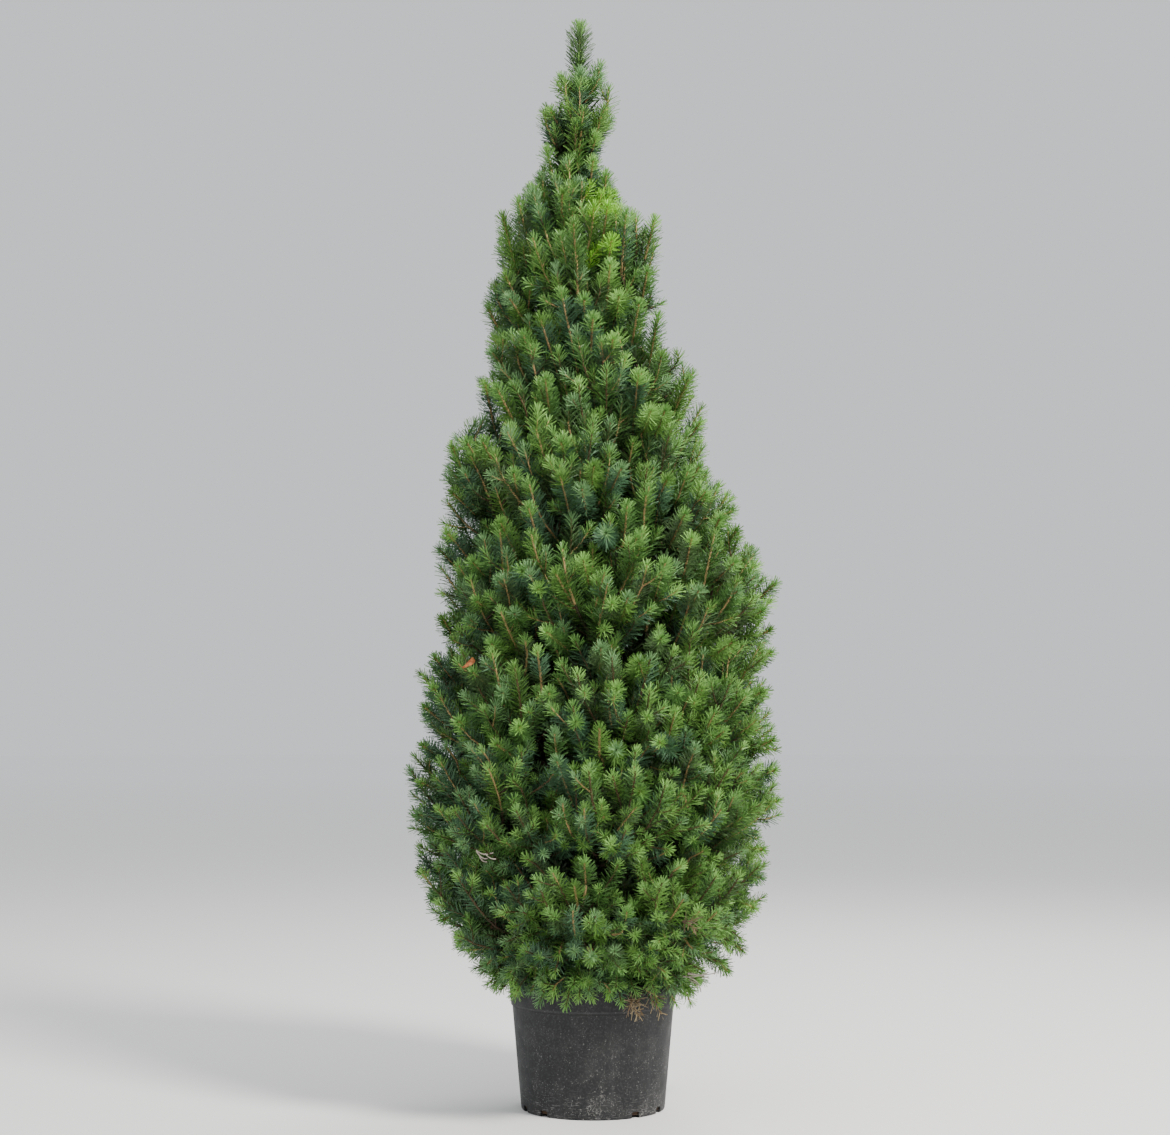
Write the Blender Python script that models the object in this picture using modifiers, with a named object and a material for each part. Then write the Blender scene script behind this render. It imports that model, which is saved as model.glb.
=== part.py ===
"""A dwarf Alberta spruce in its nursery pot: pot, soil, trunk and masses of foliage.

Metres, +Z up. The origin is the middle of the pot's flat underside and -Y is the front.
Azimuths are measured from +X towards +Y. Every solid keeps a small gap to its neighbours.
"""

import math
import random

import bmesh
import bpy
import numpy as np
from mathutils import Vector, geometry

# ------------------------------------------------------------------ driving dimensions
PLANT_HEIGHT = 1.25
GAP = 0.0003  # between neighbouring solids
SEED = 3

POT_HEIGHT = 0.145
POT_RIM_RADIUS = 0.095
POT_FOOT_RADIUS = 0.0805
POT_WALL = 0.002
POT_FLOOR = 0.003
POT_SIDES = 44
BAND_HEIGHT = 0.030  # the band under the rim
BAND_STEP = 0.0014  # how far the band stands out of the wall
LIP_RADIUS = 0.0013  # rounding on top of the rim
FOOT_CHAMFER = 0.0015

NOTCH_AZIMUTHS = (-68, -42, 35, 63)  # degrees from -Y towards +X, and the same again on the far side
NOTCH_WIDTH = 0.010
NOTCH_HEIGHT = 0.007
NOTCH_DEPTH = 0.009
NOTCH_CORNER = 0.0015

SOIL_TOP = 0.130
SOIL_DISH = 0.004  # the soil stands this much higher round the trunk than at the wall
SOIL_MOUND = (0.026, 0.055)  # radii of its flat top and of the break in its slope
SOIL_SIDES = 22

TRUNK_FOOT = SOIL_TOP + GAP
TRUNK_TOP = 1.150
TRUNK_RINGS = 28
TRUNK_CROWDING = 1.2  # above 1, the rings stand closer together towards the foot
TRUNK_SIDE_POINTS = 3  # bevel resolution of the trunk's curve
# Height, and how far the trunk's middle line lies to +X and +Y of the pot's axis.
TRUNK_LINE_X = (
    (TRUNK_FOOT, 0.0), (0.45, 0.005), (0.80, -0.010),
    (1.05, -0.023), (1.15, -0.017), (PLANT_HEIGHT, -0.015),
)
TRUNK_LINE_Y = (
    (TRUNK_FOOT, 0.0), (0.50, -0.005), (0.85, 0.003), (1.10, -0.002), (PLANT_HEIGHT, 0.002),
)
# Height, and the trunk's radius: the flare at the foot, then an even taper.
TRUNK_RADIUS = (
    (TRUNK_FOOT, 0.0170), (0.145, 0.0128), (0.175, 0.0108),
    (0.40, 0.0086), (0.70, 0.0060), (1.00, 0.0034), (TRUNK_TOP, 0.0018),
)

# Height, and how far the furthest shoots reach from the pot's axis to -X and to +X.
CROWN_LEFT = (
    (0.115, 0.110), (0.15, 0.138), (0.186, 0.168), (0.266, 0.205), (0.352, 0.212), (0.467, 0.204),
    (0.560, 0.184), (0.645, 0.184), (0.766, 0.166), (0.829, 0.140), (0.921, 0.127), (1.030, 0.112),
    (1.081, 0.068), (1.156, 0.055), (1.20, 0.034), (1.25, 0.020),
)
CROWN_RIGHT = (
    (0.115, 0.112), (0.15, 0.144), (0.186, 0.178), (0.266, 0.204), (0.352, 0.218), (0.421, 0.214),
    (0.548, 0.209), (0.605, 0.215), (0.668, 0.174), (0.789, 0.132), (0.840, 0.120), (0.915, 0.092),
    (1.024, 0.080), (1.046, 0.046), (1.081, 0.030), (1.173, 0.024), (1.25, -0.008),
)

# A bough leaves the trunk at its start height and rises by a slope that grows with it.
BOUGH_SLOPE = ((0.15, -0.08), (0.22, 0.12), (1.02, 2.05), (PLANT_HEIGHT, 2.2))
BOUGH_LIFT = 1.4  # how much steeper a bough gets for each metre outwards
BOUGH_WIND = 1.9  # radians that boughs bend sideways for each metre, by turns left and right

# Start heights that part the tiers, how many masses stand round the trunk in each, and their sprays.
TIER_STARTS = (0.155, 0.214, 0.29, 0.38, 0.485, 0.60, 0.73, 0.865, 0.99, 1.11)
TIER_MASSES = (7, 7, 7, 6, 6, 5, 5, 4, 3)
TIER_SPRAYS = (9, 7, 6, 7, 7, 6, 6, 5, 4)
FIRST_TURN = 18.0  # degrees from +X to the lowest tier's first mass
TIER_TURN = 138.5  # degrees from a tier's first mass to the next tier's
MARGIN = 0.0012  # how far a mass stays inside its own space

STEM_LEVEL = 0.45  # where between its tier's start heights a stem leaves the trunk
STEM_LENGTH = 0.74  # as a share of the way from the trunk to the outline
STEM_RINGS = (0.3, 0.65, 1.0)  # shares of that length
STEM_STEP = 0.005  # a stem's direction is read over this distance
STEM_RADIUS = (0.0045, 0.0018)  # at the trunk and at the end, in the lowest tier
STEM_RADIUS_TOP = (0.0016, 0.0010)  # the same in the highest tier

CORE_TIERS = 8  # the tiers whose masses are dense enough to have a core
CORE_REACH = (0.22, 0.50, 0.74)  # where a core's rings lie on the way to the outline
CORE_WIDTH = (0.45, 0.88, 0.74)  # how much of its space each ring takes, across and upwards
CORE_HEIGHT = (0.45, 0.82, 0.66)
CORE_SIDES = 5
CORE_CORNERS = (0.2, 0.8)  # where in its part of the ring each corner may lie
CORE_LUMPS = (0.93, 1.07)

# A spray is a slim twig from the stem and a head of needles, which leans up more than its bough.
TWIG_RADIUS = 0.0015
HEAD_LENGTH = (0.080, 0.048)  # in the lowest and the highest tier
HEAD_RADIUS = (0.0205, 0.0125)
HEAD_SIZES = (0.9, 1.1)  # how much the heads of a tier differ
HEAD_TEETH = (0.95, 0.85)  # each ring of teeth, as a share of that radius
TOOTH_ROOM = 0.5  # what the tip takes of a head, in spacings of its teeth
TOOTH_PLACE = 0.8  # where in its spacing a ring of teeth lies
TOOTH_LEAN = 0.1  # how far before the teeth's points that notch lies, as a share of their spacing
HEAD_WAIST = 0.36  # how deep the notch behind a ring of teeth goes, as a share of its radius
HEAD_SLIMMER = (1.0, 0.8, 0.62)  # tried in turn until a head fits
HEAD_LIFT = 14  # degrees
HEAD_SWAY = 12  # degrees either way, up and sideways
HEAD_CLEAR = 0.68  # how near two heads of a mass may come, as a share of their radii
TIP_REACH = (0.93, 1.0)  # a tip's distance, as a share of the outline's
TIP_SPREAD = 0.92  # how much of its space's width and height the tips take
TIP_INSET = 0.03
SPREAD_ACROSS = 0.7549  # steps of the rule that spreads the tips
SPREAD_UP = 0.5698
MOST_TRIES = 12  # for each spray
FORK_OUTERMOST = 0.94  # where on the stem the twigs fork off, as shares of its length
FORK_INNERMOST = 0.2
FORK_STEP = 0.08
FORK_JITTER = 0.1
FORK_COSINE = 0.55  # of the widest angle between a twig and its head

SKIRT_HANG = 0.100  # nothing hangs lower than this beside the pot
SKIRT_LOW = 0.126  # the lowest tips, which hang over the pot's rim
SKIRT_HIGH = 0.215  # below this height the heads get smaller and droop
SKIRT_SMALL = 0.55  # the lowest heads' share of the size
SKIRT_DROOP = -48  # degrees, the lowest heads' rise

LEADER_HEAD = 0.090  # the length of the needles' head on the leader, and its radius
LEADER_RADIUS = 0.0125
LEADER_TEETH = (0.8, 1.0, 0.95, 0.75)
LEADER_TWIST = 0.3  # radians
LEADER_SPRAYS = 7
LEADER_SPRAY = 0.036  # the sprays' heads beside it, and their radius
LEADER_SPRAY_RADIUS = 0.0085
LEADER_TIPS = (1.180, 1.230)  # heights between which their tips lie
LEADER_RISE = (55, 68)  # degrees
FORK_RISE = 0.004  # how far up the leader the first twig forks off

WELD = 0.00002  # points this near are made one where a shape is turned or capped
HALVINGS = 30  # steps of a search by halves
FLAT_ANGLE = 0.0005  # a face is split where it bends by more
ALONG_EDGE = (1 / 6, 1 / 3, 1 / 2, 2 / 3, 5 / 6)  # where an edge or an axis is tested
TOUCH = 0.000002  # a solid must not come this near to itself

FOLIAGE_COLORS = ((0.035, 0.105, 0.035), (0.050, 0.135, 0.040), (0.070, 0.165, 0.045))


# ------------------------------------------------------------------ curves of the plant
def between(ends, share):
    return ends[0] + (ends[1] - ends[0]) * share


def smooth_curve(stations, at=None):
    """A smooth function through (height, value) stations, straight between the heights at."""
    height, value = np.array(stations).T
    slope = np.gradient(value, height)
    at = np.linspace(height[0], height[-1], 400) if at is None else at
    i = np.clip(np.searchsorted(height, at, "right") - 1, 0, len(height) - 2)
    step = height[i + 1] - height[i]
    t = (at - height[i]) / step
    curve = (
        (1 + 2 * t) * (1 - t) ** 2 * value[i]
        + t * (1 - t) ** 2 * step * slope[i]
        + t * t * (3 - 2 * t) * value[i + 1]
        + t * t * (t - 1) * step * slope[i + 1]
    )
    return lambda z: np.interp(z, at, curve)


RING_HEIGHTS = TRUNK_FOOT + (TRUNK_TOP - TRUNK_FOOT) * np.linspace(0, 1, TRUNK_RINGS) ** TRUNK_CROWDING
LINE_HEIGHTS = np.append(RING_HEIGHTS, np.linspace(TRUNK_TOP, PLANT_HEIGHT, 6)[1:])
line_x = smooth_curve(TRUNK_LINE_X, LINE_HEIGHTS)
line_y = smooth_curve(TRUNK_LINE_Y, LINE_HEIGHTS)
trunk_radius = smooth_curve(TRUNK_RADIUS)
crown_left = smooth_curve(CROWN_LEFT)
crown_right = smooth_curve(CROWN_RIGHT)


def reach(z, azimuth):
    """How far the furthest shoots come from the trunk's middle line."""
    middle = (crown_left(z) + crown_right(z)) / 2
    side = (crown_right(z) - crown_left(z)) / 2
    lean = line_x(z) * np.cos(azimuth) + line_y(z) * np.sin(azimuth)
    return middle + side * np.cos(azimuth) - lean


def bough_height(start, r):
    slope = np.interp(start, *zip(*BOUGH_SLOPE))
    return start + slope * r + BOUGH_LIFT * r * r


def bough_slope_at(r, z):
    """The slope of the bough that passes through this distance and height."""
    low = 0.0
    high = z
    for _ in range(HALVINGS):
        start = (low + high) / 2
        if bough_height(start, r) < z:
            low = start
        else:
            high = start
    return float(np.interp(low, *zip(*BOUGH_SLOPE))) + 2 * BOUGH_LIFT * r


def place(r, azimuth, z):
    """The point at the distance r from the trunk's middle line."""
    x = line_x(z) + r * math.cos(azimuth)
    y = line_y(z) + r * math.sin(azimuth)
    return Vector((x, y, z))


def outline_point(start, azimuth):
    """(r, z) where boughs from this start height meet the crown's outline."""
    near = 0.0
    far = PLANT_HEIGHT / 4
    for _ in range(HALVINGS):
        r = (near + far) / 2
        if r < reach(bough_height(start, r), azimuth):
            near = r
        else:
            far = r
    return near, float(bough_height(start, near))


# ------------------------------------------------------------------ scene helpers
def clear_scene():
    for obj in list(bpy.data.objects):
        bpy.data.objects.remove(obj, do_unlink=True)


def new_collection(name):
    collection = bpy.data.collections.new(name)
    bpy.context.scene.collection.children.link(collection)
    return collection


def new_material(name, color, roughness):
    material = bpy.data.materials.new(name)
    material.use_nodes = True
    shader = material.node_tree.nodes["Principled BSDF"]
    shader.inputs["Base Color"].default_value = (*color, 1.0)
    shader.inputs["Roughness"].default_value = roughness
    shader.inputs["Metallic"].default_value = 0.0
    material.diffuse_color = (*color, 1.0)
    return material


def new_object(name, mesh, collection, material=None):
    obj = bpy.data.objects.new(name, mesh)
    collection.objects.link(obj)
    if material:
        mesh.materials.clear()
        mesh.materials.append(material)
    return obj


def turned(name, profile, sides, collection, material):
    """A solid of revolution: the profile's (radius, height) points run down its outer side."""
    mesh = bpy.data.meshes.new(name)
    points = [(r, 0.0, z) for r, z in profile]
    mesh.from_pydata(points, [(i, i + 1) for i in range(len(points) - 1)], [])
    obj = new_object(name, mesh, collection, material)
    screw = obj.modifiers.new("Turn", "SCREW")
    screw.steps = sides
    screw.render_steps = sides
    screw.use_merge_vertices = True
    screw.merge_threshold = WELD
    screw.use_smooth_shade = True
    return obj


def evaluated_mesh(obj):
    graph = bpy.context.evaluated_depsgraph_get()
    return bpy.data.meshes.new_from_object(obj.evaluated_get(graph))


# ------------------------------------------------------------------ pot and soil
def pot_wall_radius(z):
    """The pot's outer radius at a height, without the band."""
    wall_top = POT_RIM_RADIUS - BAND_STEP
    return POT_FOOT_RADIUS + (wall_top - POT_FOOT_RADIUS) * z / POT_HEIGHT


def pot_profile():
    band = POT_HEIGHT - BAND_HEIGHT
    lip_r = POT_RIM_RADIUS - LIP_RADIUS
    lip_z = POT_HEIGHT - LIP_RADIUS
    lip = [
        (lip_r + LIP_RADIUS * math.cos(angle), lip_z + LIP_RADIUS * math.sin(angle))
        for angle in (math.pi, math.pi * 2 / 3, math.pi / 3, 0.0)
    ]
    inner = [
        (0.0, POT_FLOOR),
        (pot_wall_radius(POT_FLOOR) - POT_WALL, POT_FLOOR),
        (pot_wall_radius(band) - POT_WALL, band),
        (POT_RIM_RADIUS - 2 * LIP_RADIUS, band + BAND_STEP),
    ]
    outer = [
        (pot_wall_radius(band) + BAND_STEP, band),
        (pot_wall_radius(band), band - BAND_STEP / 2),
        (pot_wall_radius(FOOT_CHAMFER), FOOT_CHAMFER),
        (POT_FOOT_RADIUS - FOOT_CHAMFER, 0.0),
        (0.0, 0.0),
    ]
    return inner + lip + outer


def notch_cutter(name, azimuth, collection):
    """A block with rounded upper edges that opens the wall and the floor's edge."""
    bm = bmesh.new()
    bmesh.ops.create_cube(bm, size=1.0)
    bmesh.ops.scale(bm, vec=(2 * NOTCH_DEPTH, NOTCH_WIDTH, 2 * NOTCH_HEIGHT), verts=bm.verts)
    upper = [
        edge for edge in bm.edges
        if all(v.co.z > 0 for v in edge.verts) and abs(edge.verts[0].co.y - edge.verts[1].co.y) < 1e-6
    ]
    bmesh.ops.bevel(bm, geom=upper, offset=NOTCH_CORNER, segments=2, profile=0.5, affect="EDGES")
    bmesh.ops.recalc_face_normals(bm, faces=bm.faces)
    mesh = bpy.data.meshes.new(name)
    bm.to_mesh(mesh)
    bm.free()
    cutter = new_object(name, mesh, collection)
    cutter.location = (POT_FOOT_RADIUS * math.cos(azimuth), POT_FOOT_RADIUS * math.sin(azimuth), 0.0)
    cutter.rotation_euler.z = azimuth
    cutter.hide_render = True
    cutter.display_type = "WIRE"
    return cutter


def make_pot(parts, cutters, material):
    pot = turned("pot", pot_profile(), POT_SIDES, parts, material)
    for half in (0, 180):
        for azimuth in NOTCH_AZIMUTHS:
            notch_cutter(f"notch_{azimuth + half}", math.radians(azimuth + half - 90), cutters)
    cut = pot.modifiers.new("Drain notches", "BOOLEAN")
    cut.operation = "DIFFERENCE"
    cut.operand_type = "COLLECTION"
    cut.collection = cutters
    cut.solver = "EXACT"
    return pot


def make_soil(parts, material):
    """The potting soil: a plug that fills the pot and stands a little higher round the trunk."""
    foot = POT_FLOOR + GAP
    inner = pot_wall_radius(foot) - POT_WALL - GAP
    upper = pot_wall_radius(SOIL_TOP - SOIL_DISH) - POT_WALL - 2 * GAP
    profile = [
        (0.0, SOIL_TOP),
        (SOIL_MOUND[0], SOIL_TOP),
        (SOIL_MOUND[1], SOIL_TOP - SOIL_DISH / 2),
        (upper, SOIL_TOP - SOIL_DISH),
        (inner, foot),
        (0.0, foot),
    ]
    return turned("soil", profile, SOIL_SIDES, parts, material)


# ------------------------------------------------------------------ trunk
def make_trunk(parts, material):
    """One tapering stem with a flared foot, cut flat at both ends, along the trunk's line."""
    curve = bpy.data.curves.new("trunk", "CURVE")
    curve.dimensions = "3D"
    curve.bevel_depth = 1.0
    curve.bevel_resolution = TRUNK_SIDE_POINTS
    curve.use_fill_caps = True
    spline = curve.splines.new("POLY")
    spline.points.add(TRUNK_RINGS - 1)
    for point, z in zip(spline.points, RING_HEIGHTS):
        point.co = (*place(0.0, 0.0, float(z)), 1.0)
        point.radius = float(trunk_radius(z))
    guide = new_object("trunk_guide", curve, parts)
    mesh = evaluated_mesh(guide)
    bpy.data.objects.remove(guide)
    bm = bmesh.new()
    bm.from_mesh(mesh)
    bmesh.ops.remove_doubles(bm, verts=bm.verts, dist=WELD)
    for v in bm.verts:
        if v.co.z < between(RING_HEIGHTS, 0.5):
            v.co.z = TRUNK_FOOT
    bm.to_mesh(mesh)
    bm.free()
    mesh.name = "trunk"
    trunk = new_object("trunk", mesh, parts, material)
    mesh.shade_smooth()
    return trunk


# ------------------------------------------------------------------ foliage
def unit(rise, azimuth):
    """The direction that rises by one angle and points along the other."""
    flat = math.cos(rise)
    return Vector((flat * math.cos(azimuth), flat * math.sin(azimuth), math.sin(rise)))


class Space:
    """The room that one mass keeps to, between two bough surfaces and two upright walls that wind."""

    def __init__(self, tier, place_in_tier):
        count = TIER_MASSES[tier]
        self.tier = tier
        self.lower = TIER_STARTS[tier]
        self.upper = TIER_STARTS[tier + 1]
        self.azimuth = math.radians(FIRST_TURN + TIER_TURN * tier + 360 * place_in_tier / count)
        self.half_turn = math.pi / count
        self.wind = BOUGH_WIND if tier % 2 else -BOUGH_WIND

    def start(self, share):
        return self.lower + (self.upper - self.lower) * share

    def middle(self, r):
        """The azimuth of the space's middle at a distance from the trunk."""
        return self.azimuth + self.wind * r

    def floor(self, r, point):
        """The lowest height open to the mass; the lowest tier hangs over the pot's rim."""
        if self.tier:
            return bough_height(self.lower, r) + 2 * MARGIN
        over_pot = math.hypot(point.x, point.y) < POT_RIM_RADIUS + MARGIN
        return POT_HEIGHT + MARGIN if over_pot else SKIRT_HANG

    def holds(self, points):
        """Whether all points lie inside, clear of the trunk, the pot and the soil."""
        for point in points:
            x = point.x - float(line_x(point.z))
            y = point.y - float(line_y(point.z))
            r = math.hypot(x, y)
            if r < float(trunk_radius(point.z)) + MARGIN:
                return False
            aside = abs((math.atan2(y, x) - self.middle(r) + math.pi) % math.tau - math.pi)
            if r * math.sin(min(self.half_turn - aside, math.pi / 2)) < MARGIN:
                return False
            if not self.floor(r, point) < point.z < bough_height(self.upper, r) - 2 * MARGIN:
                return False
        return True


def frame_of(direction):
    """Two unit vectors across a direction."""
    across = direction.cross(Vector((0.0, 0.0, 1.0)))
    if across.length < 1e-4:
        across = Vector((1.0, 0.0, 0.0))
    across.normalize()
    return across, across.cross(direction)


def ring(center, direction, radius, turn, sides=3):
    across, up = frame_of(direction)
    angles = [turn + math.tau * i / sides for i in range(sides)]
    return [center + across * (radius * math.cos(a)) + up * (radius * math.sin(a)) for a in angles]


def loft(name, rings):
    """A closed solid through rings of as many points each; a ring of one point is an end."""
    bm = bmesh.new()
    rows = [[bm.verts.new(point) for point in points] for points in rings]
    for low, high in zip(rows, rows[1:]):
        sides = max(len(low), len(high))
        for i in range(sides):
            j = (i + 1) % sides
            corners = [low[i % len(low)], low[j % len(low)], high[j % len(high)], high[i % len(high)]]
            bm.faces.new(list(dict.fromkeys(corners)))
    for end in (rows[0], rows[-1]):
        if len(end) > 2:
            bm.faces.new(end)
    bmesh.ops.recalc_face_normals(bm, faces=bm.faces)
    bmesh.ops.connect_verts_nonplanar(bm, angle_limit=FLAT_ANGLE, faces=bm.faces)
    mesh = bpy.data.meshes.new(name)
    bm.to_mesh(mesh)
    bm.free()
    return mesh


def spray_rings(root, tip, direction, head, head_radius, turn, teeth=HEAD_TEETH):
    """A slim twig that opens into a head of needles: rings of teeth that lean forwards."""
    start = tip - direction * head
    step = head / (len(teeth) + TOOTH_ROOM)
    rings = [ring(root, direction, TWIG_RADIUS, turn), ring(start, direction, TWIG_RADIUS, turn)]
    for tooth, share in enumerate(teeth):
        radius = share * head_radius
        center = start + direction * (step * (tooth + TOOTH_PLACE))
        twist = turn + tooth * math.pi / 3
        rings.append(ring(center, direction, radius, twist))
        if tooth < len(teeth) - 1:
            waist = center + direction * (TOOTH_LEAN * step)
            rings.append(ring(waist, direction, HEAD_WAIST * radius, twist + math.pi / 3))
    rings.append([tip])
    return rings


def edge_points(rings):
    """The rings' own points, and points spaced along the edges between them."""
    points = [point for row in rings for point in row]
    for row in rings:
        points += [a.lerp(b, t) for a, b in zip(row, row[1:] + row[:1]) for t in ALONG_EDGE]
    for low, high in zip(rings, rings[1:]):
        points += [a.lerp(high[i % len(high)], t) for i, a in enumerate(low) for t in ALONG_EDGE]
    return points


def heads_clear(head, others):
    """Whether a head's axis keeps off those already there; a head is (start, tip, radius)."""
    start, tip, radius = head
    for other_start, other_tip, other_radius in others:
        for along in (0.0, *ALONG_EDGE, 1.0):
            point = start.lerp(tip, along)
            nearest, share = geometry.intersect_point_line(point, other_start, other_tip)
            nearest = other_start.lerp(other_tip, min(max(share, 0.0), 1.0))
            if (point - nearest).length < HEAD_CLEAR * (radius + other_radius):
                return False
    return True


def is_sound(bm):
    """Whether every edge has two faces, also once points that nearly meet are made one."""
    spot = {v: tuple(round(c / TOUCH) for c in v.co) for v in bm.verts}
    ends = {frozenset(spot[v] for v in edge.verts) for edge in bm.edges}
    closed = all(edge.is_manifold for edge in bm.edges)
    return closed and len(ends) == len(bm.edges) and min(map(len, ends)) == 2


def body_volume(faces):
    """Three times the volume that these faces enclose, negative round a hollow."""
    return sum(f.calc_area() * f.normal.dot(f.calc_center_median()) for f in faces)


def largest_body(mesh):
    """Drops the loose scraps of a union, and fills its sealed hollows by dropping their walls."""
    bm = bmesh.new()
    bm.from_mesh(mesh)
    bm.normal_update()
    left = set(bm.faces)
    bodies = []
    while left:
        body = {left.pop()}
        front = list(body)
        while front:
            near = {face for edge in front.pop().edges for face in edge.link_faces} & left
            left -= near
            body |= near
            front += near
        bodies.append(body)
    kept = max(bodies, key=body_volume)
    bmesh.ops.delete(bm, geom=[face for face in bm.faces if face not in kept], context="FACES")
    sound = is_sound(bm)
    bm.to_mesh(mesh)
    bm.free()
    return sound


def join(name, pieces, solver, parts):
    """The mesh of one Boolean union of the first piece with a collection of the others."""
    others = new_collection(f"{name}_pieces")
    for piece in pieces[1:]:
        new_object(piece.name, piece, others)
    base = new_object(f"{name}_base", pieces[0], parts)
    boolean = base.modifiers.new("Join", "BOOLEAN")
    boolean.operation = "UNION"
    boolean.operand_type = "COLLECTION"
    boolean.collection = others
    boolean.solver = solver
    mesh = evaluated_mesh(base)
    for obj in [*others.objects, base]:
        bpy.data.objects.remove(obj)
    bpy.data.collections.remove(others)
    return mesh


def union(name, pieces, parts, material):
    """One solid from overlapping pieces. Where both solvers fail, the last spray is left out."""
    while pieces:
        for solver in ("EXACT", "MANIFOLD"):
            mesh = join(name, pieces, solver, parts)
            if largest_body(mesh):
                mesh.name = name
                return new_object(name, mesh, parts, material)
        pieces = pieces[:-1]
    return None


def make_core(name, space, rng):
    """A lumpy body that fills the middle of a mass's space, well inside it."""
    r_outline = outline_point(space.start(0.5), space.azimuth)[0]
    rings = []
    for share, width, height in zip(CORE_REACH, CORE_WIDTH, CORE_HEIGHT):
        r = share * r_outline
        low = bough_height(space.lower, r)
        high = bough_height(space.upper, r)
        points = []
        for i in range(CORE_SIDES):
            angle = math.tau * (i + rng.uniform(*CORE_CORNERS)) / CORE_SIDES
            lump = rng.uniform(*CORE_LUMPS)
            azimuth = space.middle(r) + lump * width * space.half_turn * math.cos(angle)
            z = (low + high) / 2 + lump * height * (high - low) / 2 * math.sin(angle)
            points.append(place(r, azimuth, z))
        rings.append(points)
    return loft(name, rings)


class Stem:
    """The one limb of a mass, from just clear of the trunk along the middle of its space."""

    def __init__(self, space, thickness):
        self.space = space
        self.start = space.start(STEM_LEVEL)
        self.r_trunk = float(trunk_radius(self.start)) + GAP
        self.r_end = STEM_LENGTH * outline_point(self.start, space.azimuth)[0]
        self.thickness = thickness

    def point(self, r):
        return place(r, self.space.middle(r), float(bough_height(self.start, r)))

    def rings(self):
        outwards = unit(0.0, self.space.middle(self.r_trunk))
        rings = [ring(self.point(self.r_trunk), outwards, self.thickness[0], math.pi / 2)]
        for share in STEM_RINGS:
            r = between((self.r_trunk, self.r_end), share)
            direction = (self.point(r) - self.point(r - STEM_STEP)).normalized()
            rings.append(ring(self.point(r), direction, between(self.thickness, share), math.pi / 2))
        return rings

    def fork(self, start, direction, back):
        """The outermost point from which a twig reaches a head's start at an acute angle."""
        for share in np.arange(FORK_OUTERMOST - back, FORK_INNERMOST, -FORK_STEP):
            root = self.point(share * self.r_end)
            way = start - root
            if way.dot(direction) > FORK_COSINE * way.length:
                return root
        return None


def grow_sprays(space, stem, share, rng):
    """The rings of each spray of a mass, whose tips are spread evenly over its part of the outline."""
    lowest = outline_point(space.lower, space.azimuth)[1] if space.tier else SKIRT_LOW
    highest = outline_point(space.upper, space.azimuth)[1]
    first = rng.random()
    sway = math.radians(HEAD_SWAY)
    heads = []
    sprays = []
    for attempt in range(MOST_TRIES * TIER_SPRAYS[space.tier]):
        across = (first + attempt * SPREAD_ACROSS) % 1.0
        up = (first + attempt * SPREAD_UP) % 1.0
        z_tip = between((lowest, highest), between((TIP_INSET, 1 - TIP_INSET), up))
        azimuth = space.middle(float(reach(z_tip, space.azimuth)))
        azimuth += (2 * across - 1) * TIP_SPREAD * space.half_turn
        r_tip = float(reach(z_tip, azimuth)) * rng.uniform(*TIP_REACH)
        tip = place(r_tip, azimuth, z_tip)

        above_skirt = min(1.0, (z_tip - SKIRT_LOW) / (SKIRT_HIGH - SKIRT_LOW))
        size = between((SKIRT_SMALL, 1.0), above_skirt) * rng.uniform(*HEAD_SIZES)
        lifted = math.atan(bough_slope_at(r_tip, z_tip)) + math.radians(HEAD_LIFT)
        rise = between((math.radians(SKIRT_DROOP), lifted), above_skirt) + rng.uniform(-sway, sway)
        direction = unit(rise, azimuth + rng.uniform(-sway, sway))
        long = between(HEAD_LENGTH, share) * size
        start = tip - direction * long
        twist = rng.uniform(0, math.tau)
        root = stem.fork(start, direction, rng.uniform(0.0, FORK_JITTER))
        if root is None:
            continue
        for slimmer in HEAD_SLIMMER:
            wide = between(HEAD_RADIUS, share) * size * slimmer
            rings = spray_rings(root, tip, direction, long, wide, twist)
            if heads_clear((start, tip, wide), heads) and space.holds(edge_points(rings)):
                heads.append((start, tip, wide))
                sprays.append(rings)
                break
        if len(sprays) == TIER_SPRAYS[space.tier]:
            break
    return sprays


def make_mass(name, space, parts, material):
    rng = random.Random(f"{SEED}-{name}")
    share = space.tier / (len(TIER_MASSES) - 1)
    stem = Stem(space, [between(ends, share) for ends in zip(STEM_RADIUS, STEM_RADIUS_TOP)])
    pieces = [loft(f"{name}_stem", stem.rings())]
    if space.tier < CORE_TIERS:
        pieces.append(make_core(f"{name}_core", space, rng))
    for i, rings in enumerate(grow_sprays(space, stem, share, rng)):
        pieces.append(loft(f"{name}_spray_{i + 1}", rings))
    return union(name, pieces, parts, material)


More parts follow.
